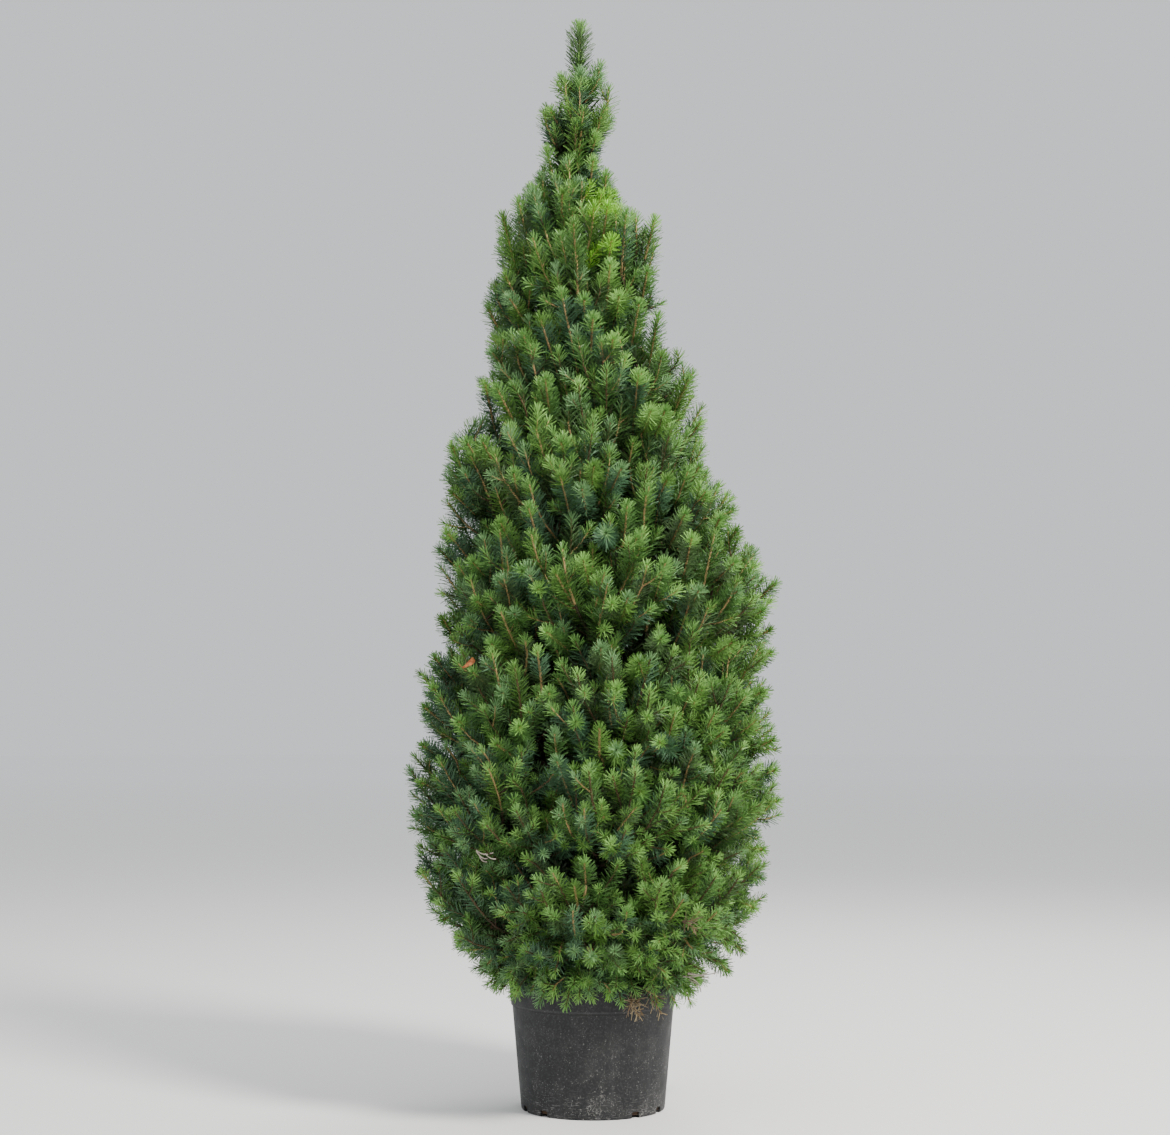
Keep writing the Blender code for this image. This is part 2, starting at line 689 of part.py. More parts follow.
def make_leader(parts, material):
    """The top: a stem that goes on from the trunk's end, with needles and sprays round it."""
    name = "foliage_top"
    rng = random.Random(f"{SEED}-{name}")
    up = Vector((0.0, 0.0, 1.0))
    foot = TRUNK_TOP + GAP
    tip = place(0, 0, PLANT_HEIGHT)
    ends = (place(0, 0, foot), place(0, 0, PLANT_HEIGHT - LEADER_HEAD / 2))
    stem = [ring(end, up, radius, 0.0) for end, radius in zip(ends, STEM_RADIUS_TOP)]
    fork = place(0, 0, foot + FORK_RISE)
    head = spray_rings(fork, tip, up, LEADER_HEAD, LEADER_RADIUS, LEADER_TWIST, LEADER_TEETH)
    pieces = [loft(f"{name}_stem", stem), loft(f"{name}_head", head)]
    heads = [(place(0, 0, PLANT_HEIGHT - LEADER_HEAD), tip, LEADER_RADIUS / 2)]
    for attempt in range(MOST_TRIES * LEADER_SPRAYS):
        azimuth = math.radians(TIER_TURN) * attempt
        z_tip = between(LEADER_TIPS, (attempt * SPREAD_UP) % 1.0)
        tip = place(float(reach(z_tip, azimuth)) * rng.uniform(*TIP_REACH), azimuth, z_tip)
        direction = unit(math.radians(rng.uniform(*LEADER_RISE)), azimuth)
        start = tip - direction * LEADER_SPRAY
        root = place(0, 0, max(foot + FORK_RISE, start.z - FORK_RISE))
        twist = rng.uniform(0, math.tau)
        rings = spray_rings(root, tip, direction, LEADER_SPRAY, LEADER_SPRAY_RADIUS, twist)
        clear = heads_clear((start, tip, LEADER_SPRAY_RADIUS), heads)
        if not clear or min(point.z for row in rings for point in row) < foot:
            continue
        heads.append((start, tip, LEADER_SPRAY_RADIUS))
        pieces.append(loft(f"{name}_spray_{len(heads)}", rings))
        if len(heads) > LEADER_SPRAYS:
            break
    return union(name, pieces, parts, material)


def make_foliage(parts, materials):
    for tier, count in enumerate(TIER_MASSES):
        for i in range(count):
            name = f"foliage_{tier + 1}_{i + 1}"
            make_mass(name, Space(tier, i), parts, materials[(tier + i) % len(materials)])
    make_leader(parts, materials[-1])


def main():
    clear_scene()
    parts = new_collection("potted_alberta_spruce")
    cutters = new_collection("cutters")
    cutters.hide_render = True
    make_pot(parts, cutters, new_material("pot_plastic", (0.035, 0.037, 0.040), 0.55))
    make_soil(parts, new_material("potting_soil", (0.045, 0.028, 0.018), 0.95))
    make_trunk(parts, new_material("bark", (0.16, 0.10, 0.06), 0.85))
    needles = [new_material(f"needles_{i + 1}", color, 0.6) for i, color in enumerate(FOLIAGE_COLORS)]
    make_foliage(parts, needles)


main()
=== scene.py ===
"""The looks of the potted dwarf Alberta spruce: its needles, twigs, boughs, bark, soil and pot.

The crown grows by the same seeded rule as the solids, and goes on from there to finer twigs.
Metres, +Z up. Azimuths are measured from +X towards +Y, and the camera looks along +Y.
"""

import math
import random
from dataclasses import dataclass

import bmesh
import bpy
import numpy as np
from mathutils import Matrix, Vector, geometry, noise


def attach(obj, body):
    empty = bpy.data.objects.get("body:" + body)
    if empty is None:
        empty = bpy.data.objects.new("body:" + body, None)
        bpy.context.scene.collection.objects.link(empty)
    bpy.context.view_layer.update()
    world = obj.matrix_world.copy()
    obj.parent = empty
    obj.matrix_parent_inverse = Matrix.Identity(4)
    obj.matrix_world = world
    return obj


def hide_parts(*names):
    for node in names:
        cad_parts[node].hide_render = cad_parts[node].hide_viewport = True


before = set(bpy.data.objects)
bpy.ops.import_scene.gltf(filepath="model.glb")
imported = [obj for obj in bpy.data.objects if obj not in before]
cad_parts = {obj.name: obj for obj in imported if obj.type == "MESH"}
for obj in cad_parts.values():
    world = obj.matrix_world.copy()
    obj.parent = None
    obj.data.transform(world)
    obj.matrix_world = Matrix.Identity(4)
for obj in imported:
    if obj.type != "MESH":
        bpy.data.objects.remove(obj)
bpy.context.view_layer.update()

# ------------------------------------------------------------------ sizes that the solids have too
PLANT_HEIGHT = 1.25
GAP = 0.0003
SEED = 3

POT_HEIGHT = 0.145
POT_RIM_RADIUS = 0.095
POT_FOOT_RADIUS = 0.0805
POT_WALL = 0.002
POT_FLOOR = 0.003
BAND_HEIGHT = 0.030
BAND_FOOT = POT_HEIGHT - BAND_HEIGHT
BAND_STEP = 0.0014
LIP_RADIUS = 0.0013
FOOT_CHAMFER = 0.0015
NOTCH_AZIMUTHS = (-68, -42, 35, 63)
NOTCH_WIDTH = 0.010
NOTCH_HEIGHT = 0.007
NOTCH_DEPTH = 0.009
NOTCH_CORNER = 0.0015

SOIL_TOP = 0.130
SOIL_DISH = 0.004
SOIL_MOUND = (0.026, 0.055)

TRUNK_FOOT = SOIL_TOP + GAP
TRUNK_TOP = 1.150
TRUNK_RINGS = 28
TRUNK_CROWDING = 1.2
TRUNK_LINE_X = (
    (TRUNK_FOOT, 0.0), (0.45, 0.005), (0.80, -0.010),
    (1.05, -0.023), (1.15, -0.017), (PLANT_HEIGHT, -0.015),
)
TRUNK_LINE_Y = (
    (TRUNK_FOOT, 0.0), (0.50, -0.005), (0.85, 0.003), (1.10, -0.002), (PLANT_HEIGHT, 0.002),
)
TRUNK_RADIUS = (
    (TRUNK_FOOT, 0.0170), (0.145, 0.0128), (0.175, 0.0108),
    (0.40, 0.0086), (0.70, 0.0060), (1.00, 0.0034), (TRUNK_TOP, 0.0018),
)

# Height, and how far the furthest shoots reach from the pot's axis to -X and to +X.
CROWN_LEFT = (
    (0.115, 0.110), (0.15, 0.138), (0.186, 0.168), (0.266, 0.205), (0.352, 0.212), (0.467, 0.204),
    (0.560, 0.184), (0.645, 0.184), (0.766, 0.166), (0.829, 0.140), (0.921, 0.127), (1.030, 0.112),
    (1.081, 0.068), (1.156, 0.055), (1.20, 0.034), (1.25, 0.020),
)
CROWN_RIGHT = (
    (0.115, 0.112), (0.15, 0.144), (0.186, 0.178), (0.266, 0.204), (0.352, 0.218), (0.421, 0.214),
    (0.548, 0.209), (0.605, 0.215), (0.668, 0.174), (0.789, 0.132), (0.840, 0.120), (0.915, 0.092),
    (1.024, 0.080), (1.046, 0.046), (1.081, 0.030), (1.173, 0.024), (1.25, -0.008),
)

# A bough leaves the trunk at its start height and rises by a slope that grows with it.
BOUGH_SLOPE = ((0.15, -0.08), (0.22, 0.12), (1.02, 2.05), (PLANT_HEIGHT, 2.2))
BOUGH_LIFT = 1.4  # how much steeper a bough gets for each metre outwards
BOUGH_WIND = 1.9  # radians that boughs bend sideways for each metre, by turns left and right

# Start heights that part the tiers, how many masses stand round the trunk in each, and their sprays.
TIER_STARTS = (0.155, 0.214, 0.29, 0.38, 0.485, 0.60, 0.73, 0.865, 0.99, 1.11)
TIER_MASSES = (7, 7, 7, 6, 6, 5, 5, 4, 3)
TIER_SPRAYS = (9, 7, 6, 7, 7, 6, 6, 5, 4)
TOP_TIER = len(TIER_MASSES)
FIRST_TURN = 18.0  # degrees from +X to the lowest tier's first mass
TIER_TURN = 138.5  # degrees from a tier's first mass to the next tier's
MARGIN = 0.0012  # how far a mass stays inside its own room

STEM_LEVEL = 0.45  # where between its tier's start heights a stem leaves the trunk
STEM_LENGTH = 0.74  # as a share of the way from the trunk to the outline

CORE_TIERS = 8  # the tiers whose masses are dense enough to have a core

# A spray is a slim twig from the stem and a head of needles, which leans up more than its bough.
TWIG_RADIUS = 0.0015
HEAD_LENGTH = (0.080, 0.048)  # in the lowest and the highest tier
HEAD_RADIUS = (0.0205, 0.0125)
HEAD_SIZES = (0.9, 1.1)  # how much the heads of a tier differ
HEAD_TEETH = (0.95, 0.85)  # each ring of teeth, as a share of that radius
TOOTH_ROOM = 0.5  # what the tip takes of a head, in spacings of its teeth
TOOTH_PLACE = 0.8  # where in its spacing a ring of teeth lies
HEAD_WAIST = 0.36  # how deep the notch behind a ring of teeth goes, as a share of its radius
TOOTH_LEAN = 0.1  # how far before the teeth's points that notch lies, as a share of their spacing
HEAD_SLIMMER = (1.0, 0.8, 0.62)  # tried in turn until a head fits
HEAD_LIFT = 14  # degrees
HEAD_SWAY = 12  # degrees either way, up and sideways
HEAD_CLEAR = 0.68  # how near two heads of a mass may come, as a share of their radii
TIP_REACH = (0.93, 1.0)  # a tip's distance, as a share of the outline's
TIP_SPREAD = 0.92  # how much of its room's width and height the tips take
TIP_INSET = 0.03
SPREAD_ACROSS = 0.7549  # steps of the rule that spreads the tips
SPREAD_UP = 0.5698
MOST_TRIES = 12  # for each spray
FORK_OUTERMOST = 0.94  # where on the stem the twigs fork off, as shares of its length
FORK_INNERMOST = 0.2
FORK_STEP = 0.08
FORK_JITTER = 0.1
FORK_COSINE = 0.55  # of the widest angle between a twig and its head

SKIRT_HANG = 0.100  # nothing hangs lower than this beside the pot
SKIRT_LOW = 0.126  # the lowest tips, which hang over the pot's rim
SKIRT_HIGH = 0.215  # below this height the heads get smaller and droop
SKIRT_SMALL = 0.55  # the lowest heads' share of the size
SKIRT_DROOP = -48  # degrees, the lowest heads' rise

LEADER_HEAD = 0.090  # the length of the needles' head on the leader, and its radius
LEADER_RADIUS = 0.0125
LEADER_SPRAYS = 7
LEADER_SPRAY = 0.036  # the sprays' heads beside it, and their radius
LEADER_SPRAY_RADIUS = 0.0085
LEADER_TIPS = (1.180, 1.230)  # heights between which their tips lie
LEADER_RISE = (55, 68)  # degrees
FORK_RISE = 0.004  # how far up the leader the first twig forks off

HALVINGS = 30  # steps of a search by halves
ALONG_EDGE = (1 / 6, 1 / 3, 1 / 2, 2 / 3, 5 / 6)  # where an edge or an axis is tested
CORE_DRAWS = 30  # random draws that the solids' rule spends on a mass's core

# ------------------------------------------------------------------ what goes on from the solids
POT_CLEAR = 0.003  # how far twigs stay from the pot
FINE_TRIES = 110  # tips tried for each mass
FINE_REACH = (0.74, 0.955)  # where the further tips end, as a share of the outline's distance
FINE_SPREAD = 1.04  # how much of its room's width they take
ZONES = (0.20, 0.44, 0.62, 1.00)  # heights for the next four
FINE_INSET = (0.0, 0.002, 0.007, 0.009)  # how much further in than that
FINE_SPACING = (0.0215, 0.0230, 0.0300, 0.0280)  # between tips
FINE_LENGTH = (0.050, 0.064, 0.110, 0.105)
CLOTHED = (0.075, 0.082, 0.100, 0.100)  # how much of a twig bears needles
FINE_ZONES = (FINE_INSET, FINE_SPACING, FINE_LENGTH, CLOTHED)
FINE_SIZES = (0.72, 1.25)
FINE_SWAY = 16  # degrees
SHOOT_START = 0.6  # how far from its tip a twig is straight, as a share of its length
FORK_NEAREST = 0.6  # a twig's least length, as a share of what is wanted
FORK_TURN = 0.45  # the cosine of the widest turn at its start
LOW_ZONE = (0.22, 0.58)  # below this the further shoots point outwards rather than up
LOW_DROOP = 34  # degrees
INNER_TRIES = 100
INNER_REACH = (0.28, 0.76)
INNER_SPACING = 0.0245
INNER_LENGTH = 0.050
INNER_NEEDLES = (0.33, 1.2, 2.9)  # their number, length and width, against the usual ones
SIDE_SHOOTS = 2  # on a twig that the solids have too
SIDE_LENGTH = (0.024, 0.040)
SIDE_SHORTEST = 0.010
SIDE_LAST = 0.86  # where on its twig the last one may leave
SIDE_SPREAD = (38, 56)  # degrees from its twig
SIDE_STRAIGHTENS = 0.55  # the share of that angle that is left at its tip
SIDE_LIFT = 0.15  # how much its tip turns upwards
SIDE_INSIDE = 0.985  # how far out it may reach, as a share of the outline's distance
SIDE_TRIES = 4  # how often it may be shortened to fit
SKIRT_SHOOTS = 260
SKIRT_SPACING = 0.0145
SKIRT_TIPS = (0.105, 0.128)  # distances from the trunk, from the lowest to the highest
SKIRT_ROOTS = (0.062, 0.078)
SKIRT_ROOT_HEIGHTS = (0.156, 0.172)
SKIRT_RISE = (-64, -22)  # degrees
TOP_TRIES = 60
TOP_TIPS = (1.03, 1.13)
TOP_RISE = (50, 66)  # degrees
LEADER_PARTS = (  # heights, and how many needles of what size
    (1.02, 1.10, 0.3, 0.9), (1.10, 1.202, 1.3, 1.05), (1.181, 1.2395, 2.6, 1.30),
)
WHORL_TIPS = (
    (-0.0180, 0.0300, 1.1840), (-0.0080, 0.0360, 1.1450), (-0.0300, 0.0400, 1.1000), (0.0050, 0.0340, 1.0900),
)
ODDITIES = (  # kind, place, how many, length and rise of each
    ("dead", -0.115, -0.170, 0.287, 5, 0.012, 48), ("dry", 0.106, -0.158, 0.2166, 2, 0.012, -10),
    ("dead", 0.112, -0.101, 0.152, 5, 0.018, -20), ("dry", 0.046, -0.101, 0.135, 3, 0.022, -58),
    ("dry", 0.062, -0.096, 0.135, 3, 0.020, -50),
    ("bright", 0.0125, -0.106, 0.152, 1, 0.018, -62),
)
ODD_LEAVES = {"dry": 0.30, "dead": 0.0, "bright": 1.2}
SHOOTS = (  # the shoots that stand out: tip and foot, in millimetres
    (-38, -16, 1182, -16, -3, 1149), (12, -24, 1179, -10, -15, 1144), (-14, -32, 1181, -14, -8, 1149),
    (-52, -22, 1140, -24, 10, 1097), (16, -27, 1141, -11, -1, 1091), (6, -36, 1105, -8, 0, 1072),
    (-18, -42, 1120, -17, -1, 1082), (-55, -22, 1096, -38, -5, 1020), (1, -47, 1075, -6, -3, 1035),
    (16, -44, 1060, 8, -9, 994), (-70, -73, 1032, -46, -37, 959), (-86, -69, 1023, -62, -37, 926),
    (-104, -56, 1009, -78, -21, 908), (-34, -95, 1024, -36, -32, 993), (-22, -112, 988, -17, -66, 905),
    (17, -103, 1008, 8, -47, 952), (37, -97, 1003, 31, -57, 929), (71, -71, 1001, 54, -32, 939),
    (62, -73, 941, 54, -15, 902), (21, -106, 967, 16, -50, 945), (19, -102, 943, 14, -40, 885),
    (-102, -65, 938, -73, -20, 886), (-122, -34, 906, -92, 18, 853), (-97, -75, 909, -71, -19, 877),
    (-37, -107, 911, -14, -60, 808), (-61, -105, 882, -30, -40, 793), (-79, -100, 863, -61, -36, 809),
    (0, -115, 880, -4, -48, 820), (22, -119, 855, 18, -49, 806), (52, -87, 902, 39, -26, 830),
    (74, -70, 891, 60, -26, 814), (-117, -62, 850, -82, -1, 811), (-53, -128, 810, -45, -60, 744),
    (50, -118, 817, 43, -50, 738), (110, -54, 822, 73, 9, 740), (-10, -112, 899, -10, -41, 872),
    (29, -100, 905, 26, -30, 880), (77, -93, 840, 65, -35, 803), (-122, -72, 814, -110, -20, 754),
    (-110, -93, 806, -70, -33, 730), (-161, -49, 746, -136, 1, 689), (-143, -87, 744, -119, -26, 709),
    (-124, -111, 742, -104, -55, 706), (-160, -76, 688, -127, -22, 659), (-165, -75, 644, -139, -18, 613),
    (-178, -33, 630, -132, 10, 582), (-102, -150, 649, -76, -83, 595), (-71, -163, 665, -51, -95, 594),
    (-87, -147, 703, -78, -78, 656), (-37, -156, 735, -21, -83, 696), (-37, -165, 699, -15, -89, 616),
    (1, -165, 707, -4, -85, 678), (-13, -171, 683, -5, -96, 645), (-43, -188, 592, -4, -118, 525),
    (-12, -195, 605, 0, -117, 560), (-106, -155, 586, -59, -89, 537), (-131, -131, 563, -95, -62, 544),
    (-137, -126, 543, -107, -54, 526), (-168, -73, 548, -153, -23, 519), (-59, -181, 573, -55, -102, 559),
    (-53, -186, 528, -19, -107, 501), (-76, -175, 593, -74, -96, 581), (-85, -169, 549, -78, -93, 524),
    (-112, -157, 517, -87, -86, 491), (-144, -97, 708, -127, -36, 679), (-133, -128, 606, -112, -65, 584),
    (124, -54, 772, 83, 3, 715), (120, -94, 717, 89, -36, 664), (126, -109, 682, 105, -47, 644),
    (140, -112, 657, 125, -54, 620), (160, -96, 645, 138, -39, 610), (155, -138, 605, 132, -81, 583),
    (159, -132, 575, 131, -73, 550), (210, -36, 591, 147, 14, 532), (190, -80, 556, 168, -32, 541),
    (206, -5, 538, 149, 50, 506), (32, -160, 706, 11, -81, 667), (13, -190, 631, 14, -110, 625),
    (47, -186, 630, 29, -110, 567), (77, -187, 604, 56, -111, 527), (100, -148, 658, 79, -73, 613),
    (106, -162, 632, 96, -91, 577), (82, -140, 697, 58, -67, 650), (37, -194, 565, 25, -115, 523),
    (113, -169, 573, 103, -94, 547), (64, -125, 773, 53, -51, 746), (80, -114, 775, 68, -46, 747),
    (19, -195, 557, 21, -117, 537), (8, -198, 512, 6, -117, 472), (153, -134, 519, 123, -64, 497),
    (72, -186, 521, 64, -104, 501), (48, -196, 495, 46, -114, 475), (91, -184, 464, 78, -102, 450),
    (-40, -206, 395, -22, -123, 342), (-106, -180, 410, -60, -98, 374), (-79, -192, 429, -71, -112, 400),
    (66, -200, 412, 92, -121, 393), (57, -200, 438, 52, -123, 417), (24, -209, 404, 23, -130, 390),
    (24, -203, 468, 21, -126, 448), (-48, -198, 464, -39, -123, 438), (-98, -177, 464, -83, -97, 441),
    (-19, -207, 433, -14, -129, 414), (-2, -211, 386, 0, -134, 366), (48, -207, 361, 48, -129, 345),
    (-132, -150, 486, -108, -82, 465), (-148, -143, 433, -121, -75, 417), (-190, -72, 450, -160, -20, 424),
    (-191, -80, 407, -163, -25, 387), (-193, -80, 366, -162, -25, 351), (-196, -73, 330, -166, -15, 321),
    (-197, -41, 265, -159, 18, 262), (-150, -75, 188, -124, -29, 204), (-119, -90, 165, -97, -44, 184),
    (203, -58, 413, 169, 0, 393), (205, -62, 379, 173, -6, 365), (209, -47, 344, 177, 8, 336),
    (189, -85, 292, 160, -27, 289), (188, -66, 259, 159, -8, 262), (172, -1, 171, 146, 50, 190),
    (156, 0, 147, 132, 45, 168), (-178, -75, 505, -156, -26, 477), (-179, -91, 471, -155, -41, 448),
    (187, -90, 466, 163, -39, 446), (-182, -62, 235, -155, -8, 240), (-168, -70, 212, -144, -22, 225),
    (180, -70, 225, 156, -22, 236), (207, -5, 513, 177, 42, 492),
    (-42, -193, 426, -38, -163, 384), (-60, -184, 512, -55, -158, 470), (-10, -196, 291, -8, -166, 258),
    (-21, -189, 266, -17, -160, 238), (6, -197, 431, 6, -166, 390), (110, -166, 410, 96, -140, 370),
    (36, -168, 668, 33, -142, 624), (88, -176, 448, 78, -150, 408), (36, -173, 238, 32, -146, 211),
    (-2, -190, 188, -1, -160, 186),
)
NARROW = (1.030, 1.110)  # between these heights the further tips stay further in
NARROW_SHARE = 0.82
# Heights, and how far the twigs there are drawn in on the left and on the right, by height.
DRAWN_IN = (
    (.750, .780, .802, .828, .840, .862, .890, .908, .930, .948, .965, .990, 1.008, 1.040, 1.085, 1.12),
    (1.00, .80, .84, 1.00, 1.00, 1.00, 1.00, 1.00, .93, .81, .87, .84, .84, .76, .74, 1.0),
    (1.00, 1.00, 1.00, 1.00, .98, .78, .80, .92, .80, .81, .81, .77, .76, .74, .70, .92),
)
# The sleeve's long needles are dark as painted shade inside the crown.
SLEEVE = (0.80, 1.07)  # between these heights long dark needles stand on the trunk
PATH_POINTS = 6
TIP_NEEDLES = 0.0075  # how far needles reach beyond the end of their twig

NEEDLES = 405_000
NEEDLE_LENGTH = 0.0160
NEEDLE_WIDTH = (0.00112, 0.00070)  # at its foot and near its tip
NEEDLE_TWIST = 0.7  # radians between the two
NEEDLE_LIFT = 0.10  # how much needles turn upwards
GOLDEN_ANGLE = math.radians(137.508)
CROWDING = 1.12  # how much denser needles stand near the tip
# Needles at a twig's foot are older, and their dark tints are also painted shade.
OLD_SHARE = 0.22  # of a twig's clothed length, from its foot, bears old needles
TIP_ZONE = (0.007, 0.014)  # how much of it, from the tip, bears young ones
# Tables of where and how much: by height, by the distance to the tip and by the share of the way.
# Higher up the bright young tips are longer, as painted light on the crown's top.
TIP_ZONE_BY_HEIGHT = (0.35, 0.80), (0.95, 1.45)
NEEDLE_LEAN = (0, 0.002, 0.006, 0.016), (16, 36, 53, 61)  # degrees
LEADER_LEAN = (0, 0.005, 0.016), (22, 42, 56)
SHORTER_AT_TIP = (0, 0.004, 0.014), (0.52, 0.72, 1.0)
SHORTER_AT_FOOT = (0, 0.08), (0.75, 1.0)
SHORTER_BY_HEIGHT = (0.35, 0.60), (0.90, 1.0)

# ------------------------------------------------------------------ colours, dealt out by spray
NEEDLE_TINTS = {
    # The two darkest tints are painted shade, for needles inside the crown and at the foot of a twig's
    # needles.
    "needles_deep": (0.017, 0.038, 0.007),
    "needles_shade": (0.030, 0.073, 0.017),
    "needles_blue": (0.062, 0.144, 0.068),
    "needles_dull": (0.064, 0.126, 0.038),
    "needles_green": (0.076, 0.184, 0.039),
    "needles_leaf": (0.114, 0.248, 0.043),
    "needles_pale": (0.145, 0.292, 0.108),
    "needles_young": (0.150, 0.325, 0.072),
    "needles_fresh": (0.215, 0.430, 0.095),
    "needles_lime": (0.225, 0.500, 0.042),
    "needles_tan": (0.205, 0.155, 0.082),
    "needles_rust": (0.098, 0.068, 0.038),
}
DRY_TINTS = ("needles_tan", "needles_rust")
TWIG_TINTS = {
    "twig_old": (0.080, 0.054, 0.036),
    "twig_brown": (0.150, 0.098, 0.055),
    "twig_tan": (0.480, 0.310, 0.145),
    "twig_dead": (0.300, 0.265, 0.220),
}
TINT_NUMBER = {name: i for i, name in enumerate(NEEDLE_TINTS)}
TWIG_NUMBER = {name: i for i, name in enumerate(TWIG_TINTS)}

# ------------------------------------------------------------------ bark, pot, soil, leaf and studio
TRUNK_SIDES = 36
TRUNK_BARK = (0.055, 150)  # its relief, as a share of the radius, and how fine it is
TRUNK_TIP_RADIUS = 0.0011
ROOT_FLARE = (0.165, 0.035)  # the height where it starts, and how far below that it is full
BOUGH_SIDES = 9
BOUGH_PARTS = 26
BOUGH_BARK = (0.11, 260)
BOUGH_FOOT_RADIUS = (0.0046, 0.0022)  # in the lowest and the highest tier
BOUGH_TIP_RADIUS = (0.0017, 0.0010)

POT_SIDES = 144
SOIL_SIDES = 96
CRUMBS = 420
FALLEN = 900  # dry needles on the soil
LEAF_PLACE = Vector((-0.135, -0.146, 0.4955))
LEAF_SIZE = (0.019, 0.0062)  # its length and half its width

CAMERA_PLACE = (-0.009, -2.33, 0.43)
CAMERA_RISE = 4.35  # degrees that it looks up
CAMERA_LENS = 62.8
SENSOR_WIDTH = 36
VIEW_LIMIT = 50
FLOOR_RADIUS = 25.0
FLOOR_SIDES = 96
FLOOR_COLOR = (0.86, 0.85, 0.84)
FLOOR_PALES = (2.5, 14.0)  # between these distances the floor turns as bright as the air
FLOOR_FAR_COLOR = (0.975, 0.975, 0.975)
LIGHTS = (  # place, size, power and colour
    ("key_light", (1.45, -1.45, 2.50), 0.7, 143, (1.0, 0.975, 0.93)),
    ("fill_light", (-2.2, -1.6, 1.4), 2.2, 9, (0.93, 0.97, 1.0)),
    ("rim_light", (0.8, 1.6, 2.2), 1.2, 30, (1.0, 1.0, 0.98)),
)
LIGHTS_AIM = Vector((0, 0, 0.6))
AIR_COLOR = (0.95, 0.975, 1.0)
AIR_STRENGTH = 0.85


# ------------------------------------------------------------------ curves of the plant
def array(vector):
    return np.array(vector, float)


def between(ends, share):
    return ends[0] + (ends[1] - ends[0]) * share


def hermite(t, span, start, leave, end, arrive):
    """Smooth from start to end as t goes from 0 to 1, with these slopes or directions at both ends."""
    return (
        (1 + 2 * t) * (1 - t) ** 2 * start
        + t * (1 - t) ** 2 * span * leave
        + t * t * (3 - 2 * t) * end
        + t * t * (t - 1) * span * arrive
    )


def smooth_curve(stations, at=None):
    """A smooth function through (height, value) stations, straight between the heights at."""
    height, value = np.array(stations).T
    slope = np.gradient(value, height)
    at = np.linspace(height[0], height[-1], 400) if at is None else at
    i = np.clip(np.searchsorted(height, at, "right") - 1, 0, len(height) - 2)
    step = height[i + 1] - height[i]
    curve = hermite((at - height[i]) / step, step, value[i], slope[i], value[i + 1], slope[i + 1])
    return lambda z: np.interp(z, at, curve)


RING_HEIGHTS = TRUNK_FOOT + (TRUNK_TOP - TRUNK_FOOT) * np.linspace(0, 1, TRUNK_RINGS) ** TRUNK_CROWDING
LINE_HEIGHTS = np.append(RING_HEIGHTS, np.linspace(TRUNK_TOP, PLANT_HEIGHT, 6)[1:])
line_x = smooth_curve(TRUNK_LINE_X, LINE_HEIGHTS)
line_y = smooth_curve(TRUNK_LINE_Y, LINE_HEIGHTS)
trunk_radius = smooth_curve(TRUNK_RADIUS)
crown_left = smooth_curve(CROWN_LEFT)
crown_right = smooth_curve(CROWN_RIGHT)


def reach(z, azimuth):
    """How far the furthest shoots come from the trunk's middle line."""
    middle = (crown_left(z) + crown_right(z)) / 2
    side = (crown_right(z) - crown_left(z)) / 2
    lean = line_x(z) * np.cos(azimuth) + line_y(z) * np.sin(azimuth)
    return middle + side * np.cos(azimuth) - lean


def halving(high, passes):
    """The highest number from 0 to high that passes a test, by halves."""
    low = 0.0
    for _ in range(HALVINGS):
        middle = (low + high) / 2
        low, high = (middle, high) if passes(middle) else (low, middle)
    return low


def bough_slope(start):
    return np.interp(start, *zip(*BOUGH_SLOPE))


def bough_height(start, r):
    return start + bough_slope(start) * r + BOUGH_LIFT * r * r


def bough_slope_at(r, z):
    """The slope of the bough that passes through this distance and height."""
    start = halving(z, lambda start: bough_height(start, r) < z)
    return float(bough_slope(start)) + 2 * BOUGH_LIFT * r


def outline_point(start, azimuth):
    """(r, z) where boughs from this start height meet the crown's outline."""
    r = halving(PLANT_HEIGHT / 4, lambda r: r < reach(bough_height(start, r), azimuth))
    return r, float(bough_height(start, r))


def place(r, azimuth, z):
    """The point at the distance r from the trunk's middle line."""
    return Vector((line_x(z) + r * math.cos(azimuth), line_y(z) + r * math.sin(azimuth), z))


def on_trunk(z):
    return place(0, 0, float(z))


def trunk_path(heights):
    return np.array([array(on_trunk(z)) for z in heights])


def from_trunk(point):
    """(distance, azimuth) of a point from the trunk's middle line."""
    x = point[0] - float(line_x(point[2]))
    y = point[1] - float(line_y(point[2]))
    return math.hypot(x, y), math.atan2(y, x)


def unit(rise, azimuth):
    """The direction that rises by one angle and points along the other."""
    flat = math.cos(rise)
    return Vector((flat * math.cos(azimuth), flat * math.sin(azimuth), math.sin(rise)))


# ------------------------------------------------------------------ the rule that the solids grew by
def frame_of(direction):
    """Two unit vectors across a direction."""
    across = direction.cross(Vector((0.0, 0.0, 1.0)))
    if across.length < 1e-4:
        across = Vector((1.0, 0.0, 0.0))
    across.normalize()
    return across, across.cross(direction)


def spray_rings(root, tip, direction, head, head_radius, turn):
    """The outline of a solid spray, three points to a ring, which says whether it fits."""
    across, up = frame_of(direction)

    def ring(center, radius, first):
        angles = [first + math.tau * i / 3 for i in range(3)]
        return [center + across * (radius * math.cos(a)) + up * (radius * math.sin(a)) for a in angles]

    start = tip - direction * head
    step = head / (len(HEAD_TEETH) + TOOTH_ROOM)
    rings = [ring(root, TWIG_RADIUS, turn), ring(start, TWIG_RADIUS, turn)]
    for tooth, share in enumerate(HEAD_TEETH):
        radius = share * head_radius
        center = start + direction * (step * (tooth + TOOTH_PLACE))
        twist = turn + tooth * math.pi / 3
        rings.append(ring(center, radius, twist))
        if tooth < len(HEAD_TEETH) - 1:
            waist = center + direction * (TOOTH_LEAN * step)
            rings.append(ring(waist, HEAD_WAIST * radius, twist + math.pi / 3))
    return [*rings, [tip]]


